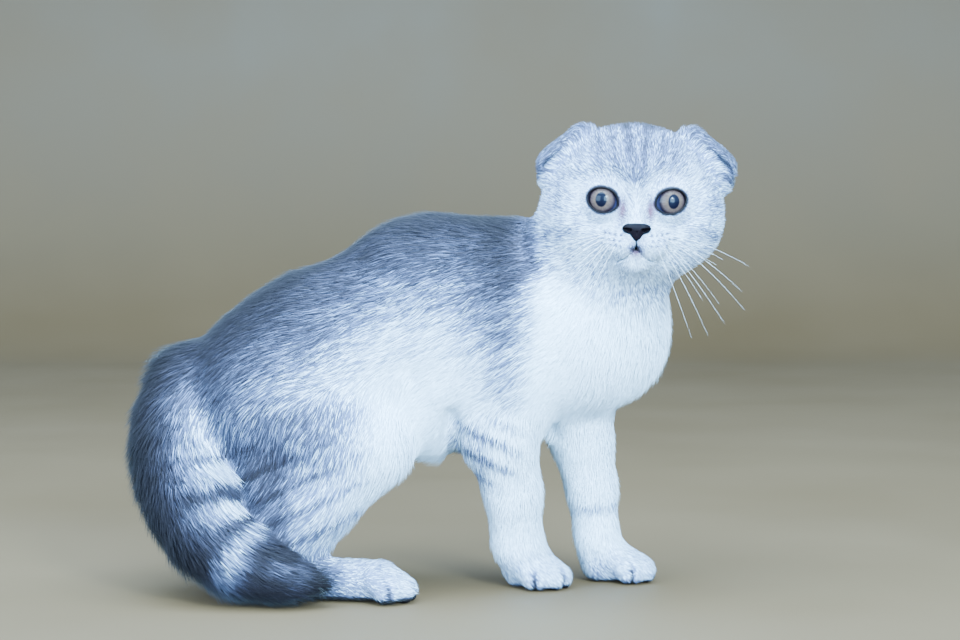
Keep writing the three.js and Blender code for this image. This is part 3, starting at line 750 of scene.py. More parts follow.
@dataclass(frozen=True)
class EyePlan:
    """Where an eye sits, how far it opens and which way it looks."""

    side: Side
    radius: float = 8.6
    apart: float = 13.9
    forward: float = 22.9
    up: float = -2.0
    opening: Pair = (6.75, 5.4)
    slant: float = 0.24
    turn: float = 0.14
    corner: float = 0.25
    gaze: Pair = (0.0, 0.0)  # sideways and up, in radians, from straight ahead

    @property
    def centre(self) -> Array:
        """The ball's centre in the head's own frame."""
        out = HEAD.face_shift + self.side.value * self.apart
        return np.array([out, self.forward, self.up])

    @property
    def axes(self) -> Array:
        """The opening's own axes in the head's frame: outwards, ahead and up.

        Returns:
            Three rows of three.
        """
        s = self.side.value
        ahead = np.array([s * math.sin(self.turn), math.cos(self.turn), 0.0])
        out = np.array([s * math.cos(self.turn), -math.sin(self.turn), 0.0])
        up = np.array([0.0, 0.0, 1.0])
        c, n = math.cos(self.slant), math.sin(self.slant)
        return np.array([out * c + up * n, ahead, up * c - out * n])

    def rim(self, angle: Array, grow: float = 0.0) -> tuple[Array, Array]:
        """The edge of the opening.

        Args:
            angle: round the opening, 0 at the outer corner.
            grow: how much wider than the opening.

        Returns:
            How far out and up the edge lies at each angle.
        """
        wide, high = (half + grow for half in self.opening)
        inner = np.exp(-(((np.abs(angle) - math.pi) / 0.34) ** 2))
        outer = np.exp(-((angle / 0.3) ** 2))
        out = wide * np.cos(angle) - self.corner * inner + 0.1 * outer
        up = high * np.sin(angle) * (1 - 0.03 * np.cos(angle)) - 0.4 * inner
        return out, up

    def shape(self, local: Array) -> tuple[Array, Array]:
        """How far points of the head's frame are outside the opening.

        Args:
            local: points in the head's own frame.

        Returns:
            The distance across the opening, negative inside it, and the distance ahead of the
            ball's centre.
        """
        out, ahead, up = ((local - self.centre) @ self.axes.T).T
        angle = np.arctan2(up / self.opening[1], out / self.opening[0])
        edge = np.hypot(*self.rim(angle))
        return np.hypot(out, up) - edge, ahead


EYES = {
    "left": EyePlan(Side.LEFT, gaze=(0.25, -0.01)),
    "right": EyePlan(Side.RIGHT, gaze=(0.2, 0.02)),
}


@dataclass(frozen=True)
class EarPlan:
    """The folded ears, as lines in the head's own frame for the left one."""

    rim: tuple = ((26, 5, 27), (34.5, 10, 20.5), (42.5, 9, 12), (38, 3, 8))
    bed: tuple = ((25, 1, 25.5), (31, 3, 18.5), (37.5, 3.2, 11.5), (37, -0.5, 7.5))
    bed_radius: float = 5.7

    @staticmethod
    def away(local: Array, line: tuple) -> Array:
        """How points lie from a line, on whichever side of the head they are.

        Args:
            local: points in the head's own frame.
            line: the line's corners.

        Returns:
            For each point, how far it lies outwards, ahead and up of the line's nearest place.
        """
        mirrored = local - np.array([HEAD.face_shift, 0, 0])
        mirrored[:, 0] = np.abs(mirrored[:, 0])
        corners = np.array(line, dtype=float)
        best = np.full((len(local), 3), 1e3)
        for a, b in zip(corners, corners[1:]):
            offset = along_segment(mirrored, a, b)[1]
            nearer = np.linalg.norm(offset, axis=1) < np.linalg.norm(best, axis=1)
            best = np.where(nearer[:, None], offset, best)
        return best


EARS = EarPlan()


@dataclass(frozen=True)
class TailPlan:
    """The tail's middle line, from its root to its tip."""

    joints: tuple = (
        (-95, 0, 98), (-107.5, -3, 92), (-112.5, -10, 78), (-113, -18, 66), (-110.5, -26, 54.5),
        (-104.5, -35, 43.5), (-98, -44, 31.5), (-85, -51, 21), (-70, -57, 15), (-58, -60, 12.5),
        (-48, -60, 10),
    )
    dark_side: tuple = (
        (-0.6, 0.0, 0.8), (-0.9, 0.0, 0.4), (-1.0, -0.1, 0.1), (-1.0, -0.2, 0.0),
        (-0.95, -0.2, -0.2), (-0.85, -0.25, -0.45), (-0.65, -0.35, -0.7), (-0.35, -0.45, -0.8),
        (-0.1, -0.6, -0.7), (0.0, -0.7, -0.5), (0.0, -0.7, -0.3),
    )

    def along(self, points: Array) -> tuple[Array, Array, Array]:
        """Follow the tail.

        Args:
            points: where, in the sculptor's frame.

        Returns:
            The place along the tail in joints from its root, the direction towards the tip
            and how much each point faces the dark side, -1 to 1.
        """
        joints = np.array(self.joints, dtype=float)
        dark = unit(np.array(self.dark_side))
        best = np.full(len(points), 1e6)
        place = np.zeros(len(points))
        for i, (a, b) in enumerate(zip(joints, joints[1:])):
            t, offset = along_segment(points, a, b)
            gap = np.linalg.norm(offset, axis=1)
            closer = gap < best
            best = np.where(closer, gap, best)
            place = np.where(closer, i + t, place)
        numbers = np.arange(len(joints))
        middle = between(place, numbers, joints)
        heading = between(place, numbers, unit(np.gradient(joints, axis=0)))
        outer = between(place, numbers, dark)
        facing = np.einsum("ij,ij->i", unit(points - middle), unit(outer))
        return place, unit(heading), facing


TAIL = TailPlan()


@dataclass(frozen=True)
class Hair:
    """How the coat grows on one zone, in millimetres and degrees."""

    depth: float
    length: float
    width: float
    lift: float
    density: float


HAIR: dict[Zone, Hair] = {
    Zone.HEAD: Hair(depth=1.5, length=4.4, width=0.27, lift=15, density=1.6),
    Zone.FACE: Hair(depth=0.9, length=3.0, width=0.23, lift=13, density=2.9),
    Zone.MUZZLE: Hair(depth=0.5, length=2.1, width=0.22, lift=14, density=3.6),
    Zone.NECK: Hair(depth=3.2, length=9.0, width=0.36, lift=18, density=1.0),
    Zone.TORSO: Hair(depth=3.0, length=8.2, width=0.31, lift=15, density=1.0),
    Zone.FRONT_LEG: Hair(depth=1.7, length=5.6, width=0.32, lift=15, density=1.1),
    Zone.FRONT_PAW: Hair(depth=0.4, length=2.8, width=0.28, lift=12, density=1.7),
    Zone.HIND_LEG: Hair(depth=2.1, length=6.6, width=0.3, lift=16, density=1.0),
    Zone.HIND_PAW: Hair(depth=0.4, length=3.0, width=0.28, lift=12, density=1.7),
    Zone.TAIL: Hair(depth=4.4, length=12.5, width=0.4, lift=22, density=1.2),
    Zone.EAR: Hair(depth=-0.3, length=2.6, width=0.26, lift=10, density=2.6),
}


class ZoneMap:
    """Which zones a place belongs to, blended where they meet."""

    zones = tuple(Zone)
    step = 3.0
    band = 15.0
    softness = 2.2

    def __init__(self) -> None:
        """Measure the distance to each node on a coarse lattice and weigh the zones."""
        gaps: dict[Zone, Array] = {}
        for name, zone in FLESH.items():
            volume = FRAME.distance(*PART.node(name), self.step, self.band)
            known = gaps.get(zone)
            gaps[zone] = volume.values if known is None else np.minimum(known, volume.values)
        stack = np.stack([gaps[zone] for zone in self.zones], axis=-1)
        nearest = stack.min(axis=-1, keepdims=True)
        weights = np.exp(-(stack - nearest) / self.softness)
        weights /= weights.sum(axis=-1, keepdims=True)
        self.volume = Volume(volume.origin, self.step, weights.astype(np.float32)).blurred(2.5)

    def shares(self, points: Array) -> dict[Zone, Array]:
        """Each zone's share at the given points."""
        weights = self.volume.at(points)
        return {zone: weights[:, i] for i, zone in enumerate(self.zones)}

    def blend(self, points: Array, quantity: str) -> Array:
        """One of the coat's sizes at the given points.

        Args:
            points: where, in the sculptor's frame.
            quantity: the name of a size of Hair.

        Returns:
            The size at each point.
        """
        sizes = np.array([getattr(HAIR[zone], quantity) for zone in self.zones])
        return self.volume.at(points) @ sizes

    def volume_of(self, quantity: str) -> Volume:
        """One of the coat's sizes over the whole lattice."""
        sizes = np.array([getattr(HAIR[zone], quantity) for zone in self.zones])
        return Volume(self.volume.origin, self.step, (self.volume.values @ sizes)[..., None])


class Lie:
    """Which way the hair lies at each place of the skin, in the sculptor's frame."""

    nose = (1.5, 44.0, -15.0)
    nape = (94.0, -16.0, 182.0)
    wander = 0.2
    waves = 11.0

    def directions(self, points: Array, shares: dict[Zone, Array]) -> Array:
        """Find the lie of the coat.

        Args:
            points: places on the skin, in the sculptor's frame.
            shares: each zone's share there.

        Returns:
            One direction for each point, not yet laid along the skin.
        """
        flows = {
            Zone.TORSO: self._torso(points),
            Zone.NECK: self._neck(points),
            Zone.HEAD: self._head(points),
            Zone.EAR: self._ear(points),
            Zone.FRONT_LEG: np.tile([-0.12, 0.0, -1.0], (len(points), 1)),
            Zone.FRONT_PAW: np.tile([0.75, -0.3, -0.6], (len(points), 1)),
            Zone.HIND_LEG: self._hind_leg(points),
            Zone.HIND_PAW: np.tile([1.0, -0.05, -0.12], (len(points), 1)),
            Zone.TAIL: TAIL.along(points)[1],
        }
        flows[Zone.FACE] = flows[Zone.MUZZLE] = flows[Zone.HEAD]
        total = sum(shares[zone][:, None] * unit(flow) for zone, flow in flows.items())
        drift = np.stack([noise(points / self.waves, seed) for seed in (3, 5, 7)], axis=1)
        return unit(total + self.wander * drift)

    @staticmethod
    def _torso(points: Array) -> Array:
        """Back along the trunk, down over the rump and down the chest.

        Args:
            points: places.

        Returns:
            One direction for each place.
        """
        x, y, z = points.T
        rump = smoothstep(-55, -108, x)
        chest = smoothstep(48, 78, x) * smoothstep(150, 120, z)
        side = smoothstep(8, 40, np.abs(y)) * smoothstep(60, 110, z)
        back = np.stack([-np.ones_like(x), 0 * x, -0.3 - 0.3 * side], axis=1)
        flow = lerp(back, np.array([-0.3, 0.0, -1.0]), rump[:, None] * 0.8)
        return lerp(flow, np.array([-0.25, 0.0, -1.0]), chest[:, None])

    def _neck(self, points: Array) -> Array:
        """Away from the head, down the throat and back over the nape."""
        away = unit(points - np.array(self.nape))
        return unit(away + np.array([-0.25, 0.0, -0.7]))

    def _head(self, points: Array) -> Array:
        """Away from the nose on every side.

        Args:
            points: places.

        Returns:
            One direction for each place.
        """
        local = HEAD.local(points)
        away = unit(local - np.array(self.nose))
        away[:, 1] -= 0.15
        return HEAD.turned(away)

    @staticmethod
    def _ear(points: Array) -> Array:
        """Over the fold and down to the rim.

        Args:
            points: places.

        Returns:
            One direction for each place.
        """
        local = HEAD.local(points)
        s = np.sign(local[:, 0])
        flow = np.stack([0.55 * s, 0.6 + 0 * s, -0.45 + 0 * s], axis=1)
        return HEAD.turned(flow)

    @staticmethod
    def _hind_leg(points: Array) -> Array:
        """Down the thigh and back along the shank.

        Args:
            points: places.

        Returns:
            One direction for each place.
        """
        z = points[:, 2]
        low = smoothstep(62, 40, z)[:, None]
        return lerp(np.array([-0.35, 0.0, -1.0]), np.array([-0.7, 0.0, -0.75]), low)


@dataclass(frozen=True)
class PawPlan:
    """A paw's place on the floor, its heading in degrees and its length from heel to toes."""

    at: Pair
    heading: float
    length: float
    width: float = 27.0
    spread: tuple = (-0.34, -0.13, 0.13, 0.34)
    setback: tuple = (12.5, 4.5, 3.5, 9.0)
    toe_length: float = 14.0
    toe_radius: float = 6.5
    cleft_half: float = 1.15
    instep: float = 18.0

    @property
    def axes(self) -> Array:
        """Forward and sideways along the floor."""
        turn = math.radians(self.heading)
        return np.array([[math.cos(turn), math.sin(turn)], [-math.sin(turn), math.cos(turn)]])

    def cleft(self, points: Array) -> Array:
        """How deep places lie in the clefts between the toes, from 0 to 1.

        Args:
            points: places.

        Returns:
            The depth at each place.
        """
        forward, side = ((points[:, :2] - self.at) @ self.axes.T).T
        gaps = []
        for share, back in zip(self.spread, self.setback):
            tip = self.length - self.toe_radius - back
            along = np.clip((tip - forward) / self.toe_length, 0, 1)
            middle = lerp(1.0, 0.84, along) * share * self.width
            out = np.hypot(side - middle, np.maximum(forward - tip, 0))
            gaps.append(np.hypot(out, points[:, 2] - (6.0 + 5.0 * along)))
        near, beside = np.sort(np.stack(gaps), axis=0)[:2]
        reach = smoothstep(self.length - self.width, self.length - self.instep, forward)
        reach *= smoothstep(17, 12, points[:, 2]) * smoothstep(self.width, self.instep, np.abs(side))
        return np.exp(-(((beside - near) / self.cleft_half) ** 2)) * reach


PAWS = (
    PawPlan((41, -3), -30, 24),
    PawPlan((78, 12), -8, 26),
    PawPlan((-65, -37), -9, 60),
    PawPlan((-104, 37), 6, 54),
)


def clefts(points: Array) -> Array:
    """How deep places lie between the toes of any paw, from 0 to 1."""
    return np.max([paw.cleft(points) for paw in PAWS], axis=0)


@dataclass(frozen=True)
class Band:
    """A dark band round the tail, in joints from its root."""

    place: float
    half: float
    depth: float


class Markings:
    """The coat's pattern, shared by the skin and the tufts, for places in the sculptor's frame."""

    ridge_x = (-140, -131.4, -120.9, -103.5, -83.9, -65.6, -44.6, -29.1, -15.9, 3.7, 23.4, 36.6, 60)
    ridge_z = (88, 98, 109.7, 119, 131, 143, 154.8, 162.6, 170.3, 173.1, 171, 167.6, 160)
    fade = ((0, 5, 11, 20, 32, 48, 66, 90), (0.99, 0.9, 0.77, 0.63, 0.46, 0.22, 0.07, 0.0))
    bands = (
        Band(4.4, 0.16, 0.48), Band(5.5, 0.22, 0.74), Band(6.65, 0.22, 0.72), Band(8.2, 0.9, 0.92),
        Band(9.75, 0.8, 1.0),
    )
    palette = (
        (0.0, (0.69, 0.83, 0.93)),
        (0.25, (0.14, 0.166, 0.272)),
        (0.5, (0.046, 0.044, 0.073)),
        (0.75, (0.0175, 0.0125, 0.019)),
        (1.0, (0.0072, 0.004, 0.0052)),
    )
    blush = (0.17, 0.06, 0.095)
    # painted shade in the clefts between the toes
    cleft_shade_tone = 0.62
    flap_tone = 0.47
    lid_tone = 0.9
    # the white round the mouth, greyed a little as painted shade
    muzzle_tone_with_shade = 0.13

    def colours(self, tone: Array, pink: Array) -> Array:
        """The colour of the coat.

        Args:
            tone: how dark it is, from 0 for white to 1 for charcoal.
            pink: how far bare skin shows through it.

        Returns:
            One colour for each point.
        """
        places = [place for place, _ in self.palette]
        rows = np.array([colour for _, colour in self.palette])
        grey = between(np.clip(tone, 0, 1), places, rows)
        return lerp(grey, np.array(self.blush), pink[:, None])

    @staticmethod
    def pink(points: Array) -> Array:
        """Where the skin shows: under the middle of the mouth and at the eyes' inner corners.

        Args:
            points: places.

        Returns:
            The share of pink at each place.
        """
        local = HEAD.local(points)
        ahead = smoothstep(18, 24, local[:, 1])
        offset = (local - np.array([HEAD.face_shift, 0, -25.2])) / np.array([3.4, 1e3, 1.5])
        share = 0.6 * np.exp(-np.einsum("ij,ij->i", offset, offset)) * ahead
        for plan in EYES.values():
            corner = plan.centre + plan.axes[0] * -8.2 + np.array([0, 0, -2.6])
            offset = (local - corner) / np.array([2.0, 1e3, 4.2])
            share += 0.75 * np.exp(-np.einsum("ij,ij->i", offset, offset)) * ahead
        return np.clip(share, 0, 0.75)

    def tone(self, points: Array, shares: dict[Zone, Array]) -> Array:
        """How dark the coat is.

        Args:
            points: places on the skin, in the sculptor's frame.
            shares: each zone's share there.

        Returns:
            The tone at each point, from 0 for white to 1 for charcoal.
        """
        torso = self._torso(points)
        head = self._head(points)
        tones = {
            Zone.TORSO: torso,
            Zone.NECK: self._neck(points),
            Zone.HEAD: head,
            Zone.FACE: head,
            Zone.MUZZLE: head,
            Zone.EAR: self._ear(points),
            Zone.FRONT_LEG: self._front_leg(points, torso),
            Zone.FRONT_PAW: self._front_paw(points),
            Zone.HIND_LEG: self._hind_leg(points, torso),
            Zone.HIND_PAW: self._hind_paw(points),
            Zone.TAIL: self._tail(points),
        }
        total = sum(shares[zone] * tone for zone, tone in tones.items())
        # painted shade darkens the clefts between the toes, near the floor
        total += self.cleft_shade_tone * clefts(points) * smoothstep(11, 4, points[:, 2])
        flap = self._flap(points) * smoothstep(0.12, 0.4, shares[Zone.EAR])
        total = lerp(total, np.maximum(total, self.flap_tone), flap)
        return np.clip(np.maximum(total, self._nape(points)), 0, 1)

    def _torso(self, points: Array) -> Array:
        """Charcoal along the spine, fading down the flank, with streaks at the shoulder.

        Args:
            points: places.

        Returns:
            The tone at each place.
        """
        x, y, z = points.T
        drop = np.maximum(np.interp(x, self.ridge_x, self.ridge_z) - z, 0)
        rear = smoothstep(-20, -95, x)
        shoulder = np.exp(-(((x - 32) / 15) ** 2))
        drop = drop * lerp(1.0, 0.66, rear) * (1 - 0.33 * shoulder)
        tone = np.interp(drop, *self.fade)
        low = lerp(34.0, 50.0, smoothstep(138, 152, z))
        chest = smoothstep(low, low + 20, x) * smoothstep(170, 158, z)
        tone = tone * (1 - chest)
        streaks = noise(np.stack([x / 15 + z / 40, y / 4, z / 3.4 - x / 12], axis=1), 11)
        fine = noise(np.stack([x / 7 + z / 20, y / 2, z / 1.9 - x / 7], axis=1), 12)
        middle = 4 * tone * (1 - tone)
        return np.clip(tone + middle * (0.1 * streaks + 0.07 * fine), 0, 1)

    @staticmethod
    def _nape(points: Array) -> Array:
        """Grey behind the near cheek and up the back of the neck.

        Args:
            points: places.

        Returns:
            The tone at each place.
        """
        x, _, z = points.T
        cheek = smoothstep(54, 46, x + 0.12 * (z - 150)) * smoothstep(136, 148, z)
        return 0.6 * cheek * smoothstep(200, 186, z)

    @staticmethod
    def _neck(points: Array) -> Array:
        """Grey at the nape, white down the throat.

        Args:
            points: places.

        Returns:
            The tone at each place.
        """
        x, y, z = points.T
        back = smoothstep(70, 50, x) * smoothstep(122, 150, z)
        nape = smoothstep(-6, 20, y) * smoothstep(135, 168, z)
        return 0.02 + 0.6 * np.maximum(back, nape)

    def _head(self, points: Array) -> Array:
        """Pale silver with faint streaks on the brow, white round the mouth, all greyed a little as
        painted shade, with more painted shade at the outer edges of the cheeks.

        Args:
            points: places.

        Returns:
            The tone at each place.
        """
        local = HEAD.local(points)
        side, forward, up = local.T
        out = np.abs(side - HEAD.face_shift)
        # the base tone is raised a little as painted shade
        tone = 0.16 + 0.16 * smoothstep(2, 20, up) + 0.3 * smoothstep(4, -24, forward)
        tone += 0.34 * smoothstep(27, 33, up) * smoothstep(26, 12, out)
        high = smoothstep(4, 16, up)
        middle = np.exp(-(((out - 1.0 - 0.16 * np.maximum(up - 6, 0)) / 2.3) ** 2))
        beside = np.exp(-(((out - 7.2 - 0.16 * up) / 2.1) ** 2)) * high
        outer = np.exp(-(((out - 14 - 0.1 * up) / 2.2) ** 2)) * high
        tone += 0.22 * middle * smoothstep(1, 8, up) + 0.15 * beside + 0.13 * outer
        temple = np.exp(-(((up + 8 + 0.25 * out) / 2.2) ** 2)) * smoothstep(22, 30, out)
        # painted shade: the cheeks' outer edges are greyer
        cheek = np.exp(-(((out - 34) / 4) ** 2)) * smoothstep(-14, -2, up) * smoothstep(14, 2, up)
        tone += 0.14 * temple + 0.14 * cheek
        # the white round the mouth keeps a little painted shade
        white = smoothstep(4, -12, up) * smoothstep(22, 10, out) * smoothstep(8, 24, forward)
        tone = lerp(tone, self.muzzle_tone_with_shade, white)
        tone += 0.06 * noise(local / np.array([1.5, 6, 4.2]), 21)
        for plan in EYES.values():
            gap, _ = plan.shape(local)
            near = smoothstep(3.6, 1.2, gap) * smoothstep(5, 14, forward)
            tone = lerp(tone, 0.12, near * 0.8)
            edge = smoothstep(1.25, 0.55, gap) * smoothstep(5, 14, forward)
            tone = lerp(tone, self.lid_tone, edge)
            tear = plan.centre + plan.axes[0] * -8.6 + np.array([0, 0, -2.2])
            away = (local - tear) / np.array([1.5, 8, 4.2])
            tone += 0.5 * np.exp(-np.einsum("ij,ij->i", away, away)) * (forward > 10)
        for spot in WHISKER_BED.roots():
            away = np.hypot(side - spot[0], up - spot[1])
            tone += 0.45 * np.exp(-((away / 0.5) ** 2)) * (forward > 20)
        foot = np.hypot((side - HEAD.face_shift) / 2.3, (up - MOUTH.meeting + 0.3) / 1.5)
        tone += 0.95 * np.exp(-(foot**2)) * (forward > 20)
        return np.clip(tone, 0, 1)

    @staticmethod
    def _flap(points: Array) -> Array:
        """The backs of the ears above their folded rims, from 0 to 1."""
        offset = EARS.away(HEAD.local(points), EARS.rim)
        return smoothstep(-2.6, -1.7, offset[:, 2] + 0.25 * offset[:, 0])

    def _ear(self, points: Array) -> Array:
        """Blue-grey backs, folded down over a pale lining with a pale rim."""
        return 0.06 + 0.4 * self._flap(points) + 0.05 * noise(HEAD.local(points) / 2.5, 31)

    @staticmethod
    def _front_leg(points: Array, torso: Array) -> Array:
        """White, with the shoulder's grey above, faint bars on the outer side and painted shade in the
        crease behind the near elbow.

        Args:
            points: places.
            torso: the trunk's tone there.

        Returns:
            The tone at each place.
        """
        x, y, z = points.T
        high = smoothstep(70, 96, z)
        bars = np.maximum(np.sin((z + 0.5 * x) * 0.62), 0) * smoothstep(44, 58, z)
        barred = bars * smoothstep(88, 74, z) * smoothstep(46, 24, x) * (y < 10)
        low = np.exp(-(((z - 34 - 0.12 * (x - 70)) / 2.2) ** 2)) * (x > 55)
        # painted shade: a dark line in the crease between the back of the near front leg and the belly
        fold = np.exp(-(((x - 8) / 1.5) ** 2)) * smoothstep(54, 62, z) * smoothstep(86, 76, z)
        low += 2.2 * fold * (y < 10)
        back = smoothstep(30, 22, x) * 0.12
        return lerp(0.02 + back + 0.4 * barred + 0.14 * low, torso * 0.8, high)

    @staticmethod
    def _hind_leg(points: Array, torso: Array) -> Array:
        """The flank's grey fading down the thigh, with faint bars to the hock and painted shade where
        the thigh meets the tail and on the far leg's inner side.

        Args:
            points: places.
            torso: the trunk's tone there.

        Returns:
            The tone at each place.
        """
        x, y, z = points.T
        thigh = np.interp(z, (20, 45, 62, 84, 110), (0.22, 0.22, 0.36, 0.5, 0.52))
        thigh *= lerp(0.08, 1.0, smoothstep(-16, -56, x))
        bars = np.maximum(np.sin((z * 0.9 - x * 0.42) * 0.55), 0) ** 2
        barred = bars * smoothstep(78, 60, z) * 0.2 * smoothstep(-20, -40, x)
        # painted shade: darker at the back of the near thigh where it meets the tail, and a little on
        # the far leg's inner side
        behind = 0.34 * smoothstep(-55, -68, x) * smoothstep(78, 60, z) * smoothstep(18, 28, z)
        far = 0.08 * smoothstep(14, 24, y) * smoothstep(44, 32, y) * smoothstep(-40, -60, x)
        return lerp(thigh + barred + behind + far, torso, smoothstep(76, 108, z))

    @staticmethod
    def _hind_paw(points: Array) -> Array:
        """White toes, grey over the heel and black where the sole meets the floor.

        Args:
            points: places.

        Returns:
            The tone at each place.
        """
        x, y, z = points.T
        x = np.where(y > 10, x + 44, x)  # the far paw is set back
        heel = smoothstep(-34, -50, x) * smoothstep(24, 12, z)
        middle = smoothstep(-8, -24, x) * 0.07
        return 0.14 + middle + 0.34 * heel + 0.85 * smoothstep(3.4, 1.6, z)

    @staticmethod
    def _front_paw(points: Array) -> Array:
        """White, with painted shade where the toes meet the floor."""
        # painted shade near the floor
        return 0.14 + 0.5 * smoothstep(3.0, 0.8, points[:, 2])

    def _tail(self, points: Array) -> Array:
        """Charcoal along the outer side, pale inside, with bands and a dark tip.

        Args:
            points: places.

        Returns:
            The tone at each place.
        """
        place, _, facing = TAIL.along(points)
        wobble = noise(points / 5.0, 41)
        facing = facing + 0.12 * wobble
        tone = np.interp(facing, (-1, -0.35, 0.05, 0.4, 0.8), (0.1, 0.18, 0.42, 0.76, 0.96))
        start = smoothstep(2.4, 0.4, place)
        tone = lerp(tone, np.maximum(tone, 0.45), start)
        end = smoothstep(6.7, 7.3, place)
        tone = lerp(tone, 0.06 + 0.3 * smoothstep(0.4, 1.0, facing), end)
        for band in self.bands:
            near = np.exp(-(((place + 0.1 * wobble - band.place) / band.half) ** 4))
            tone = lerp(tone, np.maximum(tone, band.depth), near)
        light = np.exp(-(((place - 8.4) / 0.38) ** 2)) * smoothstep(0.5, 0.0, np.abs(facing - 0.3))
        return tone - 0.42 * light


@dataclass(frozen=True)
class WhiskerBed:
    """Rows of whisker roots on the muzzle, in the head's own frame."""

    rows: tuple = ((-17.2, 4), (-19.4, 5), (-21.6, 4))
    first: float = 6.4
    spacing: float = 2.3
    stagger: float = 0.7
    rise: float = 0.25

    def roots(self) -> list[Pair]:
        """The place of each root, sideways and up, row by row.

        Returns:
            The places of the roots of both sides.
        """
        spots = []
        for row, (up, count) in enumerate(self.rows):
            for i in range(count):
                out = self.first + self.spacing * i + self.stagger * (row % 2)
                for side in Side:
                    spots.append((HEAD.face_shift + side.value * out, up + self.rise * i))
        return spots


WHISKER_BED = WhiskerBed()


@dataclass
class Skin:
    """The one skin under the coat, in place of all the flesh."""

    step: float = 1.0
    fatten: float = 0.6
    band: float = 11.0
    trunk_blur: float = 3.0
    fine_blur: float = 0.8
    ear_blur: float = 0.75
    ear_growth: float = 0.45
    ear_depth: float = -0.5
    toe_depth: float = 1.3
    toe_top: float = 18.0
    head_corner: Triple = (46, -80, 138)
    head_back: float = 40.0
    bed_fillet: float = 5.0
    ear_fillet: float = 1.6
    lid: float = 0.95
    lid_reach: float = 4.0
    lid_fillet: float = 2.4
    eye_gap: float = 0.15
    nose_gap: float = 0.6
    lip_depth: float = 0.55
    # painted shade: the skin is a little darker than the coat that grows over it
    painted_under_coat_shade: float = 0.03
    smoothed: dict = field(
        default_factory=lambda: {
            Zone.TORSO: 1.0, Zone.NECK: 1.0, Zone.TAIL: 0.9, Zone.HEAD: 0.9, Zone.HIND_LEG: 0.8,
            Zone.FRONT_LEG: 0.6, Zone.FACE: 0.3,
        }
    )
    cells: dict = field(
        default_factory=lambda: {
            "x": ((-144, 1.6), (-28, 1.1), (-2, 1.6), (36, 0.85), (146, None)),
            "y": ((-80, 0.9), (8, 1.6), (68, None)),
            "z": ((-8, 1.1), (16, 1.6), (138, 0.85), (222, None)),
        }
    )

    def build(self, zones: ZoneMap) -> None:
        """Shape the skin.

        Args:
            zones: the map of the coat's zones.
        """
        self.zones = zones
        lattice = [self._axis(self.cells[name]) for name in "xyz"]
        values = self._inset(lattice)
        points, quads = quads_of(values)
        points = np.stack(
            [np.interp(points[:, i], np.arange(len(lattice[i])), lattice[i]) for i in range(3)],
            axis=1,
        )
        self.points, self.quads = largest_shell(points, quads)
        self.normals = vertex_normals(self.points, self.quads)
        self.shares = zones.shares(self.points)
        self.object = piece("skin", self.points, self.quads)
        LOG.info("skin has %d quads", len(self.quads))

    @staticmethod
    def _axis(stretches: tuple) -> Array:
        """Sample places along one axis, each stretch with its own spacing.

        Args:
            stretches: where each stretch starts, and its spacing.

        Returns:
            The places.
        """
        places = []
        for (start, step), (end, _) in zip(stretches, stretches[1:]):
            count = max(1, round((end - start) / step))
            places.append(np.linspace(start, end, count, endpoint=False))
        places.append(np.array([stretches[-1][0]], dtype=float))
        return np.concatenate(places)

    def _joined(self) -> tuple[Volume, Volume]:
        """Join the nodes of flesh.

        Returns:
            The distance to the whole body without its ears, and the distance to the ears.
        """
        def nearest(names: list[str], band: float) -> Volume:
            """Measure to the nearest of some nodes.

            Args:
                names: the nodes.
                band: how far out the distance is kept.

            Returns:
                The distances, negative inside.
            """
            volumes = [FRAME.distance(*PART.node(name), self.step, band) for name in names]
            values = np.minimum.reduce([volume.values for volume in volumes])
            return Volume(volumes[0].origin, self.step, values)

        ears = [name for name, zone in FLESH.items() if zone is Zone.EAR]
        rest = [name for name in FLESH if name not in ears]
        body = nearest([*rest, *SOCKET_FILLERS], 3.0)
        points, quads = largest_shell(*quads_of(body.values - self.fatten))
        points = points * self.step + body.origin
        whole = FRAME.distance(points, quads, self.step, self.band)
        whole = Volume(whole.origin, self.step, whole.values + self.fatten)
        return whole, nearest(ears, 9.0)

    def _inset(self, lattice: list[Array]) -> Array:
        """The skin's distances on the uneven lattice, inside the solids by the coat's depth.

        Args:
            lattice: the sample places along each axis.

        Returns:
            The distances.
        """
        whole, ears = self._joined()
        trunk = whole.blurred(self.trunk_blur)
        fine = whole.blurred(self.fine_blur)
        ears = Volume(ears.origin, self.step, ears.values - self.ear_growth).blurred(self.ear_blur)
        body_share = self.zones.volume.values
        smooth = sum(
            body_share[..., self.zones.zones.index(zone)] * weight
            for zone, weight in self.smoothed.items()
        )
        share = Volume(self.zones.volume.origin, self.zones.step, smooth)
        depth = self.zones.volume_of("depth")
        depth = Volume(depth.origin, depth.step, depth.values[..., 0])
        spread = [self._resample(v, lattice) for v in (trunk, fine, share, depth, ears)]
        trunk_at, fine_at, share_at, depth_at, ears_at = spread
        by_ears = smoothstep(6.5, 2.0, ears_at)
        depth_at = lerp(depth_at, self.ear_depth, by_ears)
        values = lerp(fine_at, trunk_at, share_at * (1 - by_ears)) + depth_at
        return self._sculpt(self._part_toes(values, lattice), ears_at, lattice)

    def _part_toes(self, values: Array, lattice: list[Array]) -> Array:
        """Let in the clefts between the toes.

        Args:
            values: the distances.
            lattice: the sample places along each axis.

        Returns:
            The new distances.
        """
        low = slice(0, np.searchsorted(lattice[2], self.toe_top))
        points, shape = lattice_points([*lattice[:2], lattice[2][low]])
        values = values.copy()
        values[..., low] += (self.toe_depth * clefts(points)).reshape(shape)
        return values

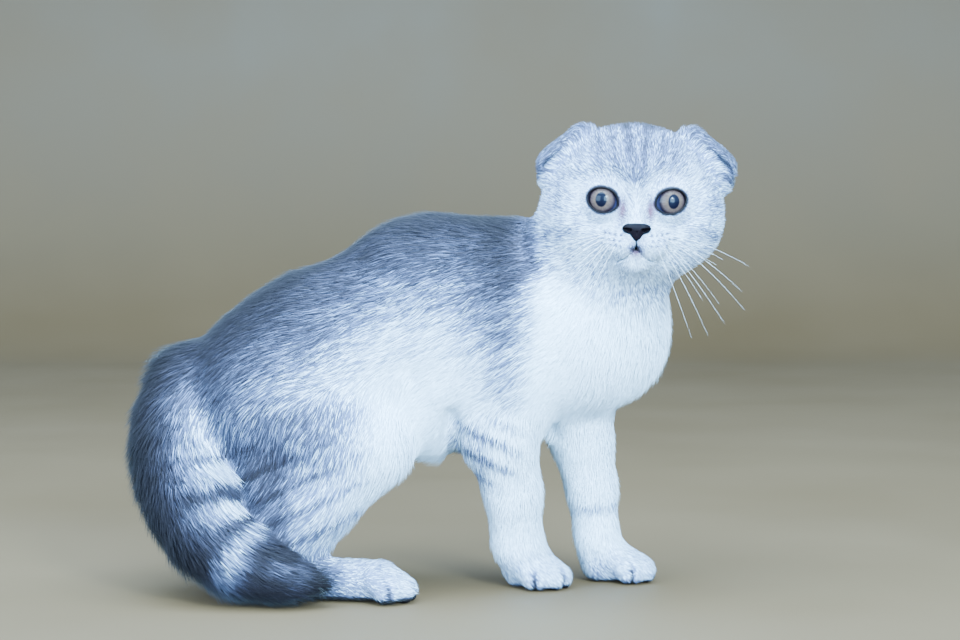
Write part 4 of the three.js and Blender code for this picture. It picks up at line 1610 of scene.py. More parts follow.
    @staticmethod
    def _resample(volume: Volume, lattice: list[Array]) -> Array:
        """Read a volume at every point of the uneven lattice.

        Args:
            volume: the volume.
            lattice: the sample places along each axis.

        Returns:
            The numbers read.
        """
        values = volume.values
        for axis, places in enumerate(lattice):
            limit = values.shape[axis] - 1.001
            place = np.clip((places - volume.origin[axis]) / volume.step, 0, limit)
            cell = place.astype(int)
            shape = [-1 if a == axis else 1 for a in range(3)]
            t = (place - cell).astype(np.float32).reshape(shape)
            low = np.take(values, cell, axis=axis)
            values = low + (np.take(values, cell + 1, axis=axis) - low) * t
        return values

    def _sculpt(self, values: Array, ears: Array, lattice: list[Array]) -> Array:
        """Add the ears and lids, open the eyes and let in the nose and the line of the mouth.

        Args:
            values: the distances.
            ears: the distances to the ears.
            lattice: the sample places along each axis.

        Returns:
            The new distances.
        """
        starts = [np.searchsorted(axis, low) for axis, low in zip(lattice, self.head_corner)]
        part = [slice(start, None) for start in starts]
        part[1] = slice(0, np.searchsorted(lattice[1], self.head_back))
        points, shape = lattice_points([axis[s] for axis, s in zip(lattice, part)])
        local = HEAD.local(points)
        block = values[tuple(part)].reshape(-1).astype(np.float64)
        by_ear = ears[tuple(part)].reshape(-1)
        bed = np.linalg.norm(EARS.away(local, EARS.bed), axis=1) - EARS.bed_radius
        block = soft_min(soft_min(block, bed, self.bed_fillet), by_ear, self.ear_fillet)
        nose = NOSE.distance(*(local - [HEAD.face_shift, 0, 0]).T)
        block = np.maximum(block, -self.nose_gap - nose)
        for plan in EYES.values():
            gap, ahead = plan.shape(local)
            ball = np.linalg.norm(local - plan.centre, axis=1) - plan.radius
            lids = np.maximum(ball - self.lid, gap - self.lid_reach)
            block = soft_min(block, lids, self.lid_fillet)
            socket = ball - self.eye_gap
            hollow = np.minimum(np.maximum(gap + 0.1, -ahead), socket)
            hollow = np.where(ahead < -2, socket, hollow)
            block = np.maximum(block, -hollow)
        for line in MOUTH.lines():
            block = np.maximum(block, self.lip_depth - MOUTH.gap(local, line))
        values = values.copy()
        values[tuple(part)] = block.reshape(shape)
        return values

    def unwrap(self) -> None:
        """Unwrap the skin by its own shape, for the places of the tufts."""
        bpy.context.view_layer.objects.active = self.object
        self.object.select_set(True)
        bpy.ops.object.mode_set(mode="EDIT")
        bpy.ops.mesh.select_all(action="SELECT")
        bpy.ops.uv.smart_project(angle_limit=math.radians(66), island_margin=0.002)
        bpy.ops.object.mode_set(mode="OBJECT")
        self.object.select_set(False)
        layer = self.object.data.uv_layers.active
        layer.name = BAKE_MAP
        flat = np.empty(len(self.quads) * 8)
        layer.data.foreach_get("uv", flat)
        self.uv = flat.reshape(-1, 4, 2)

    def dress(self, markings: Markings) -> None:
        """Paint the skin with the coat's own markings, a little darker as painted shade under the coat.

        Args:
            markings: the coat's pattern.
        """
        # the skin's tone is raised a little as painted shade under the coat
        tone = markings.tone(self.points, self.shares) + self.painted_under_coat_shade
        paint(self.object, "Tone", markings.colours(tone, markings.pink(self.points)))
        self.object.data.materials.append(UNDERCOAT.material())
        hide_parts(*FLESH)


@dataclass(frozen=True)
class MouthPlan:
    """The cleft under the nose and the two lines of the lips, in the head's own frame."""

    foot: float = -18.4
    meeting: float = -22.6
    lip: tuple = ((0.0, 0.0), (2.2, -2.2), (4.6, -4.4), (7.2, -5.6))
    behind: float = 27.0  # how far forward the face starts

    def lines(self) -> list[Array]:
        """The cleft and both lips, as corners (side, up).

        Returns:
            The corners of each line.
        """
        lines = [np.array([[HEAD.face_shift, self.foot], [HEAD.face_shift, self.meeting]])]
        for side in Side:
            corners = [
                [HEAD.face_shift + side.value * out, self.meeting + up] for out, up in self.lip
            ]
            lines.append(np.array(corners))
        return lines

    def gap(self, local: Array, line: Array) -> Array:
        """How far points of the face are from a line, seen from the front.

        Args:
            local: points in the head's own frame.
            line: the line's corners.

        Returns:
            The distances.
        """
        flat = local[:, [0, 2]]
        best = np.full(len(local), 1e3)
        for a, b in zip(line, line[1:]):
            best = np.minimum(best, np.linalg.norm(along_segment(flat, a, b)[1], axis=1))
        return best + np.maximum(self.behind - local[:, 1], 0)


MOUTH = MouthPlan()


@dataclass(frozen=True)
class Growth:
    """One piece of the coat: the zones it covers and how many tufts it has."""

    name: str
    zones: tuple[Zone, ...]
    tufts: int
    along: Pair = (-1e3, 1e3)


@dataclass
class Coat:
    """The coat, as thin closed blades that lie along the skin and overlap."""

    pieces: tuple[Growth, ...] = (
        Growth("coat_face", (Zone.FACE, Zone.MUZZLE), 32000),
        Growth("coat_head", (Zone.HEAD, Zone.EAR), 31000),
        Growth("coat_chest", (Zone.TORSO, Zone.NECK), 31000, (34, 1e3)),
        Growth("coat_ribs", (Zone.TORSO, Zone.NECK), 33000, (-28, 34)),
        Growth("coat_rump", (Zone.TORSO, Zone.NECK), 33000, (-1e3, -28)),
        Growth("coat_legs", (Zone.FRONT_LEG, Zone.FRONT_PAW), 25000),
        Growth("coat_hind_legs", (Zone.HIND_LEG, Zone.HIND_PAW), 31000),
        Growth("coat_tail", (Zone.TAIL,), 32000),
    )
    root: float = 0.5
    bend: float = 0.35
    patch: float = 0.003
    middle: float = 0.42
    fullness: float = 0.5
    ridge: float = 0.6
    floor_gap: float = 0.1
    lowest: float = 1.2
    lid_gap: float = 0.45
    ball_gap: float = 0.6
    stray: float = 0.085
    clumps: float = 4.5
    lengths: Pair = (0.72, 1.22)
    widths: Pair = (0.8, 1.25)
    lifts: Pair = (0.65, 1.35)
    shading: tuple = (0.75, 0.95, 0.95, 0.95, 1.15)  # from the root to the tip
    spots: tuple = ((0, -1), (-1, -0.2), (0, 0.1), (1, -0.2), (0, 1))
    seed: int = 19

    def build(self, skin: Skin, markings: Markings, lie: Lie) -> None:
        """Grow every piece of the coat.

        Args:
            skin: the skin it grows on.
            markings: the coat's pattern.
            lie: which way the hair lies.
        """
        self.skin, self.markings, self.lie = skin, markings, lie
        a, b, c, d = (skin.points[skin.quads[:, i]] for i in range(4))
        self.area = np.linalg.norm(np.cross(c - a, d - b), axis=1) / 2
        self.middles = (a + b + c + d) / 4
        shares = skin.zones.shares(self.middles)
        self.shares = np.stack([shares[zone] for zone in Zone], axis=1)
        material = SILVER_HAIR.material()
        for number, growth in enumerate(self.pieces):
            made = self._grow(growth, self.seed + number)
            made.data.materials.append(material)
            LOG.info("%s has %d tufts", growth.name, growth.tufts)

    def _places(self, growth: Growth, random: np.random.Generator) -> tuple[Array, Array]:
        """Choose the roots of one piece, evenly over the skin.

        Args:
            growth: the piece.
            random: the source of small shifts.

        Returns:
            The quad of each root, and its place in the quad.
        """
        order = list(Zone)
        owner = np.argmax(self.shares, axis=1)
        mine = np.isin(owner, [order.index(zone) for zone in growth.zones])
        x = self.middles[:, 0]
        mine &= (x >= growth.along[0]) & (x < growth.along[1]) & (self.middles[:, 2] > self.lowest)
        local = HEAD.local(self.middles)
        for plan in EYES.values():
            gap, ahead = plan.shape(local)
            mine &= ~((gap < self.lid_gap) & (ahead > 0))
            mine &= np.linalg.norm(local - plan.centre, axis=1) > plan.radius + self.ball_gap
        density = self.shares @ np.array([HAIR[zone].density for zone in order])
        weight = np.where(mine, self.area * density, 0)
        total = np.cumsum(weight)
        steps = (np.arange(growth.tufts) + random.random(growth.tufts)) / growth.tufts
        chosen = np.searchsorted(total, steps * total[-1])
        return chosen, random.random((growth.tufts, 2))

    def _grow(self, growth: Growth, seed: int) -> Object:
        """Make one piece of the coat.

        Args:
            growth: the piece.
            seed: fixes what is random about it.

        Returns:
            The object.
        """
        random = np.random.default_rng(seed)
        quad, place = self._places(growth, random)
        count = growth.tufts
        skin = self.skin
        u, v = place.T
        weights = np.stack([(1 - u) * (1 - v), u * (1 - v), u * v, (1 - u) * v], axis=1)
        corners = skin.quads[quad]
        root = np.einsum("ij,ijk->ik", weights, skin.points[corners])
        normal = unit(np.einsum("ij,ijk->ik", weights, skin.normals[corners]))
        map_place = np.einsum("ij,ijk->ik", weights, skin.uv[quad])
        shares = skin.zones.shares(root)
        flow = self.lie.directions(root, shares)
        flow += self.stray * random.standard_normal((count, 3))
        flow = unit(flow - normal * np.einsum("ij,ij->i", flow, normal)[:, None])
        across = np.cross(normal, flow)
        length = skin.zones.blend(root, "length") * random.uniform(*self.lengths, count)
        width = skin.zones.blend(root, "width") * random.uniform(*self.widths, count)
        clump = noise(root / self.clumps, 51)
        lift = np.radians(skin.zones.blend(root, "lift") * (1 + 0.2 * clump))
        lift *= random.uniform(*self.lifts, count)
        near = self._short(root)
        length, width = length * near, width * lerp(0.8, 1.0, near)
        points = self._blades(root, normal, flow, across, length, width, lift)
        place = root + flow * (length * 0.35)[:, None]
        tone = self.markings.tone(place, shares)
        made = self._finish(growth.name, points, tone, self.markings.pink(place), map_place, random)
        side = self.fullness * across
        facing = np.stack([normal, normal - side, normal, normal + side, normal], axis=1)
        made.data.normals_split_custom_set_from_vertices(unit(facing).reshape(-1, 3))
        return made

    @staticmethod
    def _short(root: Array) -> Array:
        """The hair is shorter round the eyes, the nose and the mouth.

        Args:
            root: the roots of the tufts.

        Returns:
            The share of its length that each tuft keeps.
        """
        local = HEAD.local(root)
        near = np.ones(len(root))
        for plan in EYES.values():
            gap, ahead = plan.shape(local)
            near = np.minimum(near, np.where(ahead > 0, 0.35 + 0.65 * smoothstep(0.5, 7, gap), 1))
        nose = np.array([HEAD.face_shift, NOSE.reach, NOSE.up - 1])
        away = np.linalg.norm(local - nose, axis=1)
        return np.minimum(near, 0.45 + 0.55 * smoothstep(5, 17, away))

    def _blades(
        self, root: Array, normal: Array, flow: Array, across: Array,
        length: Array, width: Array, lift: Array,
    ) -> Array:
        """Lay out each blade's five points: its root, a ring of three and its tip.

        Args:
            root: where each blade starts.
            normal: the skin's outward direction there.
            flow: the way the blade lies.
            across: square to both.
            length: the blade's length.
            width: its greatest width.
            lift: its angle over the skin.

        Returns:
            The points, five for each blade.
        """
        def spine(t: float) -> Array:
            """The blade's middle line, which bends down towards the skin.

            Args:
                t: how far along the blade, 0 to 1.

            Returns:
                A point of each blade.
            """
            reach = (length * t)[:, None]
            rise = (np.sin(lift) * (1 + self.bend * (1 - t)))[:, None]
            return root + reach * (np.cos(lift)[:, None] * flow + rise * normal)

        middle = spine(self.middle)
        half = (width / 2)[:, None]
        ring = [middle - across * half, middle + normal * half * self.ridge, middle + across * half]
        blades = np.stack([root - normal * self.root, *ring, spine(1.0)], axis=1)
        blades[..., 2] = np.maximum(blades[..., 2], self.floor_gap)
        return blades

    def _finish(
        self, name: str, points: Array, tone: Array, pink: Array, map_place: Array,
        random: np.random.Generator,
    ) -> Object:
        """Join the blades, colour them and give them their map.

        Args:
            name: the piece's name.
            points: five points for each blade.
            tone: how dark each blade is.
            pink: how far bare skin shows at each blade.
            map_place: each root's place on the skin's unwrap.
            random: the source of small differences.

        Returns:
            The object.
        """
        count = len(points)
        blade = np.array([[0, 2, 1], [0, 3, 2], [0, 1, 3], [4, 1, 2], [4, 2, 3], [4, 3, 1]])
        a, b, c = (points[:, blade[:, i]] for i in range(3))
        volume = np.einsum("ijk,ijk->i", a, np.cross(b, c))
        faces = np.where((volume < 0)[:, None, None], blade[None, :, ::-1], blade[None])
        faces = (faces + 5 * np.arange(count)[:, None, None]).reshape(-1, 3)
        made = piece(name, points.reshape(-1, 3), faces)
        middle = 4 * tone * (1 - tone)
        spread = np.clip(random.standard_normal(count), -1.6, 1.6)
        tone = np.clip(tone + (0.02 + 0.16 * middle) * spread, 0, 1)
        shades = tone[:, None] * np.array(self.shading)
        paint(made, "Tone", self.markings.colours(shades.ravel(), np.repeat(pink, 5)))
        spots = map_place[:, None] + np.array(self.spots)[None] * (self.patch / 2)
        uv = spots.reshape(-1, 2)[faces.ravel()]
        layer = made.data.uv_layers.new(name=BAKE_MAP)
        layer.data.foreach_set("uv", uv.astype(np.float32).ravel())
        return made


def tube(
    path: Array, radii: Array, up: Array, sides: int = 8, closed: bool = False
) -> tuple[Array, Array]:
    """Sweep a round section along a path.

    Args:
        path: the path's points.
        radii: the section's radius at each point.
        up: a direction at each point that is not along the path.
        sides: corners of the section.
        closed: whether the path is a loop.

    Returns:
        The tube's points and its quads, with the ends drawn to a point where it is open.
    """
    count = len(path)
    if closed:
        tangent = unit(np.roll(path, -1, axis=0) - np.roll(path, 1, axis=0))
    else:
        tangent = unit(np.gradient(path, axis=0))
    side = unit(np.cross(tangent, up))
    lift = np.cross(side, tangent)
    angle = np.arange(sides) * 2 * math.pi / sides
    ring = np.cos(angle)[None, :, None] * side[:, None] + np.sin(angle)[None, :, None] * lift[:, None]
    points = path[:, None] + ring * radii[:, None, None]
    points = points.reshape(-1, 3)
    rows = count if closed else count - 1
    i, j = np.meshgrid(np.arange(rows), np.arange(sides), indexing="ij")
    i, j = i.ravel(), j.ravel()
    after, beside = (i + 1) % count, (j + 1) % sides
    quads = np.stack([i * sides + j, after * sides + j, after * sides + beside, i * sides + beside], 1)
    if not closed:
        ends = np.array([path[0], path[-1]])
        first, last = len(points), len(points) + 1
        points = np.concatenate([points, ends])
        j = np.arange(0, sides, 2)
        starts = (j, (j + 1) % sides, (j + 2) % sides)
        low = np.stack([np.full(len(j), first), starts[0], starts[1], starts[2]], 1)
        base = (count - 1) * sides
        high = np.stack([np.full(len(j), last), base + starts[2], base + starts[1], base + starts[0]], 1)
        quads = np.concatenate([quads, low, high])
    return points, outward(points, quads)


@dataclass(frozen=True)
class WetEye:
    """A wet eye: grey-olive iris with fine spokes, a dark edge and an upright pupil."""

    name: str
    pupil: Pair = (0.42, 0.55)  # half its width and height, in irises
    spokes: float = 9.0
    iris: tuple = (
        (0.0, (0.05, 0.031, 0.021)), (0.35, (0.086, 0.05, 0.037)), (0.7, (0.068, 0.039, 0.034)),
        (0.88, (0.02, 0.011, 0.014)), (1.0, (0.004, 0.002, 0.004)),
    )
    haze: tuple = (0.048, 0.027, 0.028, 1.0)
    depth: tuple = (0.0008, 0.0011, 0.0055, 1.0)
    white: tuple = ((0.008, 0.007, 0.02, 1.0), (0.055, 0.05, 0.1, 1.0))
    behind: tuple = (0.19, 0.1, 0.095, 1.0)

    def material(self) -> Material:
        """Build the node material.

        Returns:
            The material.
        """
        look = Nodes(self.name)
        gaze = look.add("Attribute", attribute_name="Gaze").outputs["Vector"]
        parts = look.add("SeparateXYZ", {"Vector": gaze})
        x, y, z = (parts.outputs[name] for name in "XYZ")
        flat = look.add("CombineXYZ", {"X": x, "Y": y, "Z": 0.0}).outputs[0]
        away = look.add("VectorMath", {0: flat}, operation="LENGTH").outputs["Value"]
        angle = look.math("ARCTAN2", y, x)
        spokes = look.add("CombineXYZ", {
            "X": look.math("MULTIPLY", look.math("COSINE", angle), self.spokes),
            "Y": look.math("MULTIPLY", look.math("SINE", angle), self.spokes),
            "Z": look.math("MULTIPLY", away, 1.4),
        }).outputs[0]
        fibre = look.add("TexNoise", {"Vector": spokes, "Scale": 2.4, "Detail": 4.0})
        cloud = look.add("TexNoise", {"Vector": flat, "Scale": 1.6, "Detail": 2.0})
        iris = look.ramp(look.spread(away, 0.3, 1.0), self.iris)
        streaks = look.spread(fibre.outputs["Fac"], *GRAIN, (0.55, 1.35))
        iris = look.mix(1.0, iris, streaks, "MULTIPLY")
        haze = look.spread(cloud.outputs["Fac"], 0.45, 0.8, (0.0, 0.5))
        iris = look.mix(haze, iris, self.haze)
        oval = look.add("CombineXYZ", {
            "X": look.math("MULTIPLY", x, 1.0 / self.pupil[0]),
            "Y": look.math("MULTIPLY", y, 1.0 / self.pupil[1]),
            "Z": 0.0,
        }).outputs[0]
        hole = look.add("VectorMath", {0: oval}, operation="LENGTH").outputs["Value"]
        inside = look.mix(look.spread(hole, 0.93, 1.07), self.depth, iris)
        white = look.mix(look.spread(away, 1.04, 1.3), *self.white)
        edge = look.spread(away, 0.98, 1.05)
        back = look.spread(z, 0.0, 0.4)
        whole = look.mix(edge, inside, white)
        look.shade(
            Base_Color=look.mix(back, self.behind, whole),
            Roughness=look.spread(fibre.outputs["Fac"], 0.2, 0.8, (0.4, 0.55)),
            Specular_IOR_Level=0.04,
            Coat_Weight=0.3,
            Coat_Roughness=0.02,
            Coat_IOR=1.4,
        )
        return look.material


@dataclass
class Eye:
    """An eyeball with its iris and pupil, and the dark rim of its lids."""

    name: str
    plan: EyePlan
    iris: float = 5.9
    inset: float = 0.35
    bulge: float = 0.5
    cornea_reach: float = 1.15
    rings: int = 72
    segments: int = 96
    rim_radius: float = 0.42
    rim_stand: float = 0.8
    rim_steps: int = 96

    def build(self) -> None:
        """Make the ball and the rim of the lids."""
        self._ball()
        self._rim()

    def _aim(self) -> tuple[Array, Array, Array]:
        """The eye's own axes in the sculptor's frame: sideways, ahead and up.

        Returns:
            The three directions.
        """
        sideways, upward = self.plan.gaze
        turn = self.plan.side.value * sideways
        ahead = np.array([math.sin(turn), math.cos(turn) * math.cos(upward), math.sin(upward)])
        ahead = unit(HEAD.turned(ahead))
        up = HEAD.turned(np.array([0.0, 0.0, 1.0]))
        side = unit(np.cross(up, ahead))
        return side, ahead, np.cross(ahead, side)

    def _ball(self) -> None:
        """The eyeball, with the cornea standing a little proud."""
        plan = self.plan
        rows, quads = globe(self.rings, self.segments)
        rows = rows[:, [0, 2, 1]]
        limit = math.asin(self.iris / plan.radius) * self.cornea_reach
        edge = np.clip(np.arccos(rows[:, 1]) / limit, 0, 1)
        radius = plan.radius - self.inset + self.bulge * np.cos(edge * math.pi / 2) ** 2
        points = HEAD.world(plan.centre) + (rows * radius[:, None]) @ np.array(self._aim())
        ball = piece(f"eyeball_{self.name}", points, outward(points, quads))
        paint(ball, "Gaze", rows[:, [0, 2, 1]] * plan.radius / self.iris)
        ball.data.materials.append(WetEye(f"wet_eye_{self.name}").material())
        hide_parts(f"eye_{self.name}")

    def _rim(self) -> None:
        """The dark wet edge of the lids, all round the opening."""
        plan = self.plan
        angle = np.linspace(-math.pi, math.pi, self.rim_steps + 1)[:-1]
        out, up = plan.rim(angle)
        sphere = plan.radius + self.rim_stand
        ahead = np.sqrt(np.maximum(sphere**2 - out**2 - up**2, 4.0))
        local = plan.centre + np.stack([out, ahead, up], axis=1) @ plan.axes
        path = HEAD.world(local)
        centre = HEAD.world(plan.centre)
        inner = np.exp(-(((np.abs(angle) - math.pi) / 0.5) ** 2))
        upper = np.maximum(np.sin(angle), 0)
        radii = self.rim_radius * (0.85 + 0.4 * inner + 0.3 * upper)
        points, quads = tube(path, radii, unit(path - centre), sides=10, closed=True)
        rim = piece(f"lid_rim_{self.name}", points, quads)
        rim.data.materials.append(DarkSkin(f"lid_leather_{self.name}", 0.5, 0.1).material())
        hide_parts(f"lids_{self.name}")


@dataclass(frozen=True)
class NoseForm:
    """The shape of the nose leather, in the head's own frame about the face's middle."""

    reach: float = 41.0
    up: float = -14.0
    top: tuple = ((0, -3.3, 0), (6.0, 3.8, 2.2))
    wing: tuple = ((3.6, -3.0, -0.2), (2.4, 3.2, 2.0))
    stem: tuple = ((0, -3.2, -2.4), (2.3, 3.1, 3.0))

    def distance(self, out: Array, forward: Array, up: Array) -> Array:
        """How far points are from the leather, without its nostrils.

        Args:
            out: how far to the side of the face's middle.
            forward: how far forward.
            up: how far up.

        Returns:
            The distances, negative inside.
        """
        rows = np.stack([np.abs(out), forward, up])
        top, wing, stem = (self.ball(rows, *form) for form in (self.top, self.wing, self.stem))
        return soft_min(soft_min(top, wing, 1.2), stem, 2.6)

    def ball(self, rows: Array, at: tuple, half: tuple) -> Array:
        """Measure to a ball drawn out along each axis.

        Args:
            rows: points as a row each for sideways, forward and up.
            at: the ball's place from the tip of the nose.
            half: half its size each way.

        Returns:
            The distances, negative inside.
        """
        halves = np.array(half)[:, None]
        centre = np.array(at) + (0, self.reach, self.up)
        scaled = (rows - centre[:, None]) / halves
        k0 = np.linalg.norm(scaled, axis=0)
        k1 = np.linalg.norm(scaled / halves, axis=0)
        return k0 * (k0 - 1) / np.maximum(k1, 1e-6)


NOSE = NoseForm()


@dataclass
class Nose:
    """The nose leather with its nostrils and the groove down its middle."""

    step: float = 0.32
    low: Triple = (-9.0, 31.0, -22.0)
    high: Triple = (9.0, 44.0, -9.0)
    nostril: tuple = ((3.1, -0.2, -0.7), (1.15, 2.2, 0.75))
    slit: tuple = ((4.9, -1.4, -0.2), (1.5, 2.2, 0.4))
    groove: float = 0.32

    def build(self) -> None:
        """Cut the nostrils into the form and mesh it."""
        axes = [np.arange(a, b, self.step) for a, b in zip(self.low, self.high)]
        points, shape = lattice_points(axes)
        out, forward, up = points.T
        rows = np.stack([np.abs(out), forward, up])
        values = NOSE.distance(out, forward, up)
        holes = soft_min(NOSE.ball(rows, *self.nostril), NOSE.ball(rows, *self.slit), 0.6)
        values = np.maximum(values, -holes)
        groove = self.groove - np.hypot(rows[0], forward - (NOSE.reach + 0.15))
        values = np.maximum(values, np.where(up < NOSE.up + 0.5, groove, -1))
        points, quads = quads_of(values.reshape(shape) / self.step)
        points, quads = largest_shell(points, quads)
        local = points * self.step + np.array(self.low) + np.array([HEAD.face_shift, 0, 0])
        nose = piece("nose_leather", HEAD.world(local), quads[:, ::-1])
        nose.data.materials.append(DarkSkin("nose_leather", 0.62, 0.06).material())
        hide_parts("nose")


@dataclass
class Lips:
    """The dark edges of the lips, laid in the line of the mouth."""

    thick: float = 0.8
    thin: float = 0.28

    def build(self, skin: Skin) -> None:
        """Lay the lips on the skin.

        Args:
            skin: the skin whose mouth they line.
        """
        tree = BVHTree.FromPolygons(skin.points.tolist(), skin.quads.tolist())
        forward = HEAD.turned([0.0, 1.0, 0.0])
        points, quads = [], []
        count = 0
        for line in MOUTH.lines():
            corners = np.concatenate([
                lerp(a, b, np.linspace(0, 1, 9)[:-1, None]) for a, b in zip(line, line[1:])
            ] + [line[-1:]])
            path = []
            for side, up in corners:
                start = HEAD.world([side, BEFORE_FACE, up])
                path.append(np.array(tree.ray_cast(Vector(start), Vector(-forward))[0]))
            path = np.array(path)
            share = np.linspace(0, 1, len(path))
            radii = lerp(self.thick, self.thin, share)
            ahead = np.tile(forward, (len(path), 1))
            new_points, new_quads = tube(path, radii, ahead, sides=6)
            points.append(new_points)
            quads.append(new_quads + count)
            count += len(new_points)
        lips = piece("lips", np.concatenate(points), np.concatenate(quads))
        lips.data.materials.append(DarkSkin("lip_leather", 0.5).material())


@dataclass
class Whiskers:
    """Long white whiskers on the muzzle and a few over each eye."""

    root_radius: float = 0.052
    tip_radius: float = 0.014
    steps: int = 14
    fan: Pair = (6.0, 62.0)  # degrees below the level, first and last
    stray: float = 4.0
    lengths: Pair = (28, 41)
    sags: Pair = (0.12, 0.26)
    sweep: float = 0.22
    per_side: int = 10
    per_brow: int = 3
    seed: int = 5

    def build(self, skin: Skin) -> None:
        """Lay out the whiskers and give them their thickness.

        Args:
            skin: the skin they grow from.
        """
        tree = BVHTree.FromPolygons(skin.points.tolist(), skin.quads.tolist())
        random = np.random.default_rng(self.seed)
        paths = []
        for way in Side:
            roots = [
                spot for spot in WHISKER_BED.roots()
                if (spot[0] > HEAD.face_shift) == (way.value > 0)
            ]
            roots = sorted(roots, key=lambda spot: -abs(spot[0]))[: self.per_side]
            roots = sorted(roots, key=lambda spot: -spot[1])
            for i, (side, up) in enumerate(roots):
                fall = np.interp(i, (0, len(roots) - 1), self.fan)
                fall = math.radians(fall + random.uniform(-self.stray, self.stray))
                aim = [way.value * math.cos(fall), 0.42 - 0.02 * i, -math.sin(fall)]
                length = random.uniform(*self.lengths)
                sag = random.uniform(*self.sags)
                paths.append(self._path(tree, side, up, aim, length, sag))
        for plan in EYES.values():
            for i in range(self.per_brow):
                s = plan.side.value
                side = plan.centre[0] + s * (-3 + 2.6 * i)
                aim = [s * (0.1 + 0.3 * i), 0.55, 0.8]
                paths.append(self._path(tree, side, plan.up + 10.2, aim, 11 + 2.0 * i, 0.25))
        self._grow(paths)

    def _path(
        self, tree: BVHTree, side: float, up: float, aim: list, length: float, sag: float
    ) -> Array:
        """One whisker's middle line.

        Args:
            tree: the skin.
            side: the root's place to the side.
            up: the root's height.
            aim: the way it sets out, in the head's own frame.
            length: how long it is.
            sag: how far it bends down, as a share of its length.

        Returns:
            The points of the line.
        """
        back = HEAD.turned(np.array([0.0, -1.0, 0.0]))
        start = HEAD.world([side, BEFORE_FACE, up])
        root = np.array(tree.ray_cast(Vector(start), Vector(back))[0])
        t = np.linspace(-0.02, 1, self.steps)[:, None]
        way = unit(HEAD.turned(np.array(aim)))
        down = np.array([0.0, 0.0, -1.0])
        return root + length * (way * t + (down * sag + back * self.sweep) * t * t)

    def _grow(self, paths: list[Array]) -> None:
        """Turn the lines into tapering round hairs with Geometry Nodes.

        Args:
            paths: the middle line of each hair.
        """
        mesh = bpy.data.meshes.new("whisker_lines")
        points = (np.concatenate(paths) + PART.shift) * MM
        edges = [
            (n * self.steps + i, n * self.steps + i + 1)
            for n in range(len(paths))
            for i in range(self.steps - 1)
        ]
        mesh.from_pydata(points.tolist(), edges, [])
        lines = show(bpy.data.objects.new("whisker_lines", mesh))
        tree = bpy.data.node_groups.new("whisker_growth", "GeometryNodeTree")
        interface = tree.interface
        interface.new_socket("Geometry", in_out="INPUT", socket_type="NodeSocketGeometry")
        root = interface.new_socket("Root radius", in_out="INPUT", socket_type="NodeSocketFloat")
        tip = interface.new_socket("Tip radius", in_out="INPUT", socket_type="NodeSocketFloat")
        interface.new_socket("Geometry", in_out="OUTPUT", socket_type="NodeSocketGeometry")
        new = tree.nodes.new
        start, end = new("NodeGroupInput"), new("NodeGroupOutput")
        curve = new("GeometryNodeMeshToCurve")
        along, taper = new("GeometryNodeSplineParameter"), new("ShaderNodeMapRange")
        ring, sweep = new("GeometryNodeCurvePrimitiveCircle"), new("GeometryNodeCurveToMesh")
        realize, dress = new("GeometryNodeRealizeInstances"), new("GeometryNodeSetMaterial")
        ring.inputs["Resolution"].default_value = 5
        ring.inputs["Radius"].default_value = 1.0
        sweep.inputs["Fill Caps"].default_value = True
        dress.inputs["Material"].default_value = WHITE_WHISKER.material()
        for source, output, target, socket in (
            (start, "Geometry", curve, "Mesh"), (curve, "Curve", sweep, "Curve"),
            (along, "Factor", taper, "Value"), (start, "Root radius", taper, "To Min"),
            (start, "Tip radius", taper, "To Max"), (taper, "Result", sweep, "Scale"),
            (ring, "Curve", sweep, "Profile Curve"), (sweep, "Mesh", realize, "Geometry"),
            (realize, "Geometry", dress, "Geometry"), (dress, "Geometry", end, "Geometry"),
        ):
            tree.links.new(source.outputs[output], target.inputs[socket])
        growth = lines.modifiers.new("growth", "NODES")
        growth.node_group = tree
        growth[root.identifier] = self.root_radius * MM
        growth[tip.identifier] = self.tip_radius * MM
        depsgraph = bpy.context.evaluated_depsgraph_get()
        plain = bpy.data.meshes.new_from_object(lines.evaluated_get(depsgraph))
        lines.modifiers.remove(growth)
        bpy.data.objects.remove(lines)
        made = show(bpy.data.objects.new("whiskers", plain))
        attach(made, BODY)
        LOG.info("whiskers: %d hairs", len(paths))


@dataclass
class Pads:
    """The bare pads under the toes and the ball of each paw."""

    rings: int = 6
    segments: int = 12
    toe: Pair = (3.1, 2.3)
    ball: Pair = (4.6, 6.4)
    ball_back: float = 15.0
    toe_back: float = 0.5
    middle: float = 1.6
    thickness: float = 1.9
    hem: float = 0.05

    def build(self) -> None:
        """Set the pads under every paw."""
        points, quads = [], []
        for paw in PAWS:
            forward, side = np.column_stack([paw.axes, [0.0, 0.0]])
            base = np.array([*paw.at, 0.0])
            spots = [
                (paw.length - self.toe_back - back, share * paw.width, self.toe)
                for share, back in zip(paw.spread, paw.setback)
            ]
            spots.append((paw.length - self.ball_back, 0.0, self.ball))
            for along, across, half in spots:
                middle = base + forward * along + side * across + (0, 0, self.middle)
                new_points, new_quads = self._dome(middle, forward, side, half)
                quads.append(new_quads + sum(len(p) for p in points))
                points.append(new_points)
        pads = piece("paw_pads", np.concatenate(points), np.concatenate(quads))
        pads.data.materials.append(DarkSkin("pad_leather", 0.6, 0.12).material())

    def _dome(self, middle: Array, forward: Array, side: Array, half: tuple) -> tuple[Array, Array]:
        """One rounded pad, flattened on the floor.

        Args:
            middle: the pad's middle.
            forward: the paw's heading.
            side: square to it.
            half: half its length and width.

        Returns:
            The pad's points and quads.
        """
        rows, quads = globe(self.rings, self.segments)
        points = middle + rows[:, :1] * half[0] * forward + rows[:, 1:2] * half[1] * side
        points[:, 2] += rows[:, 2] * self.thickness
        points[:, 2] = np.maximum(points[:, 2], self.hem * (1 + rows[:, 2]))
        return points, quads


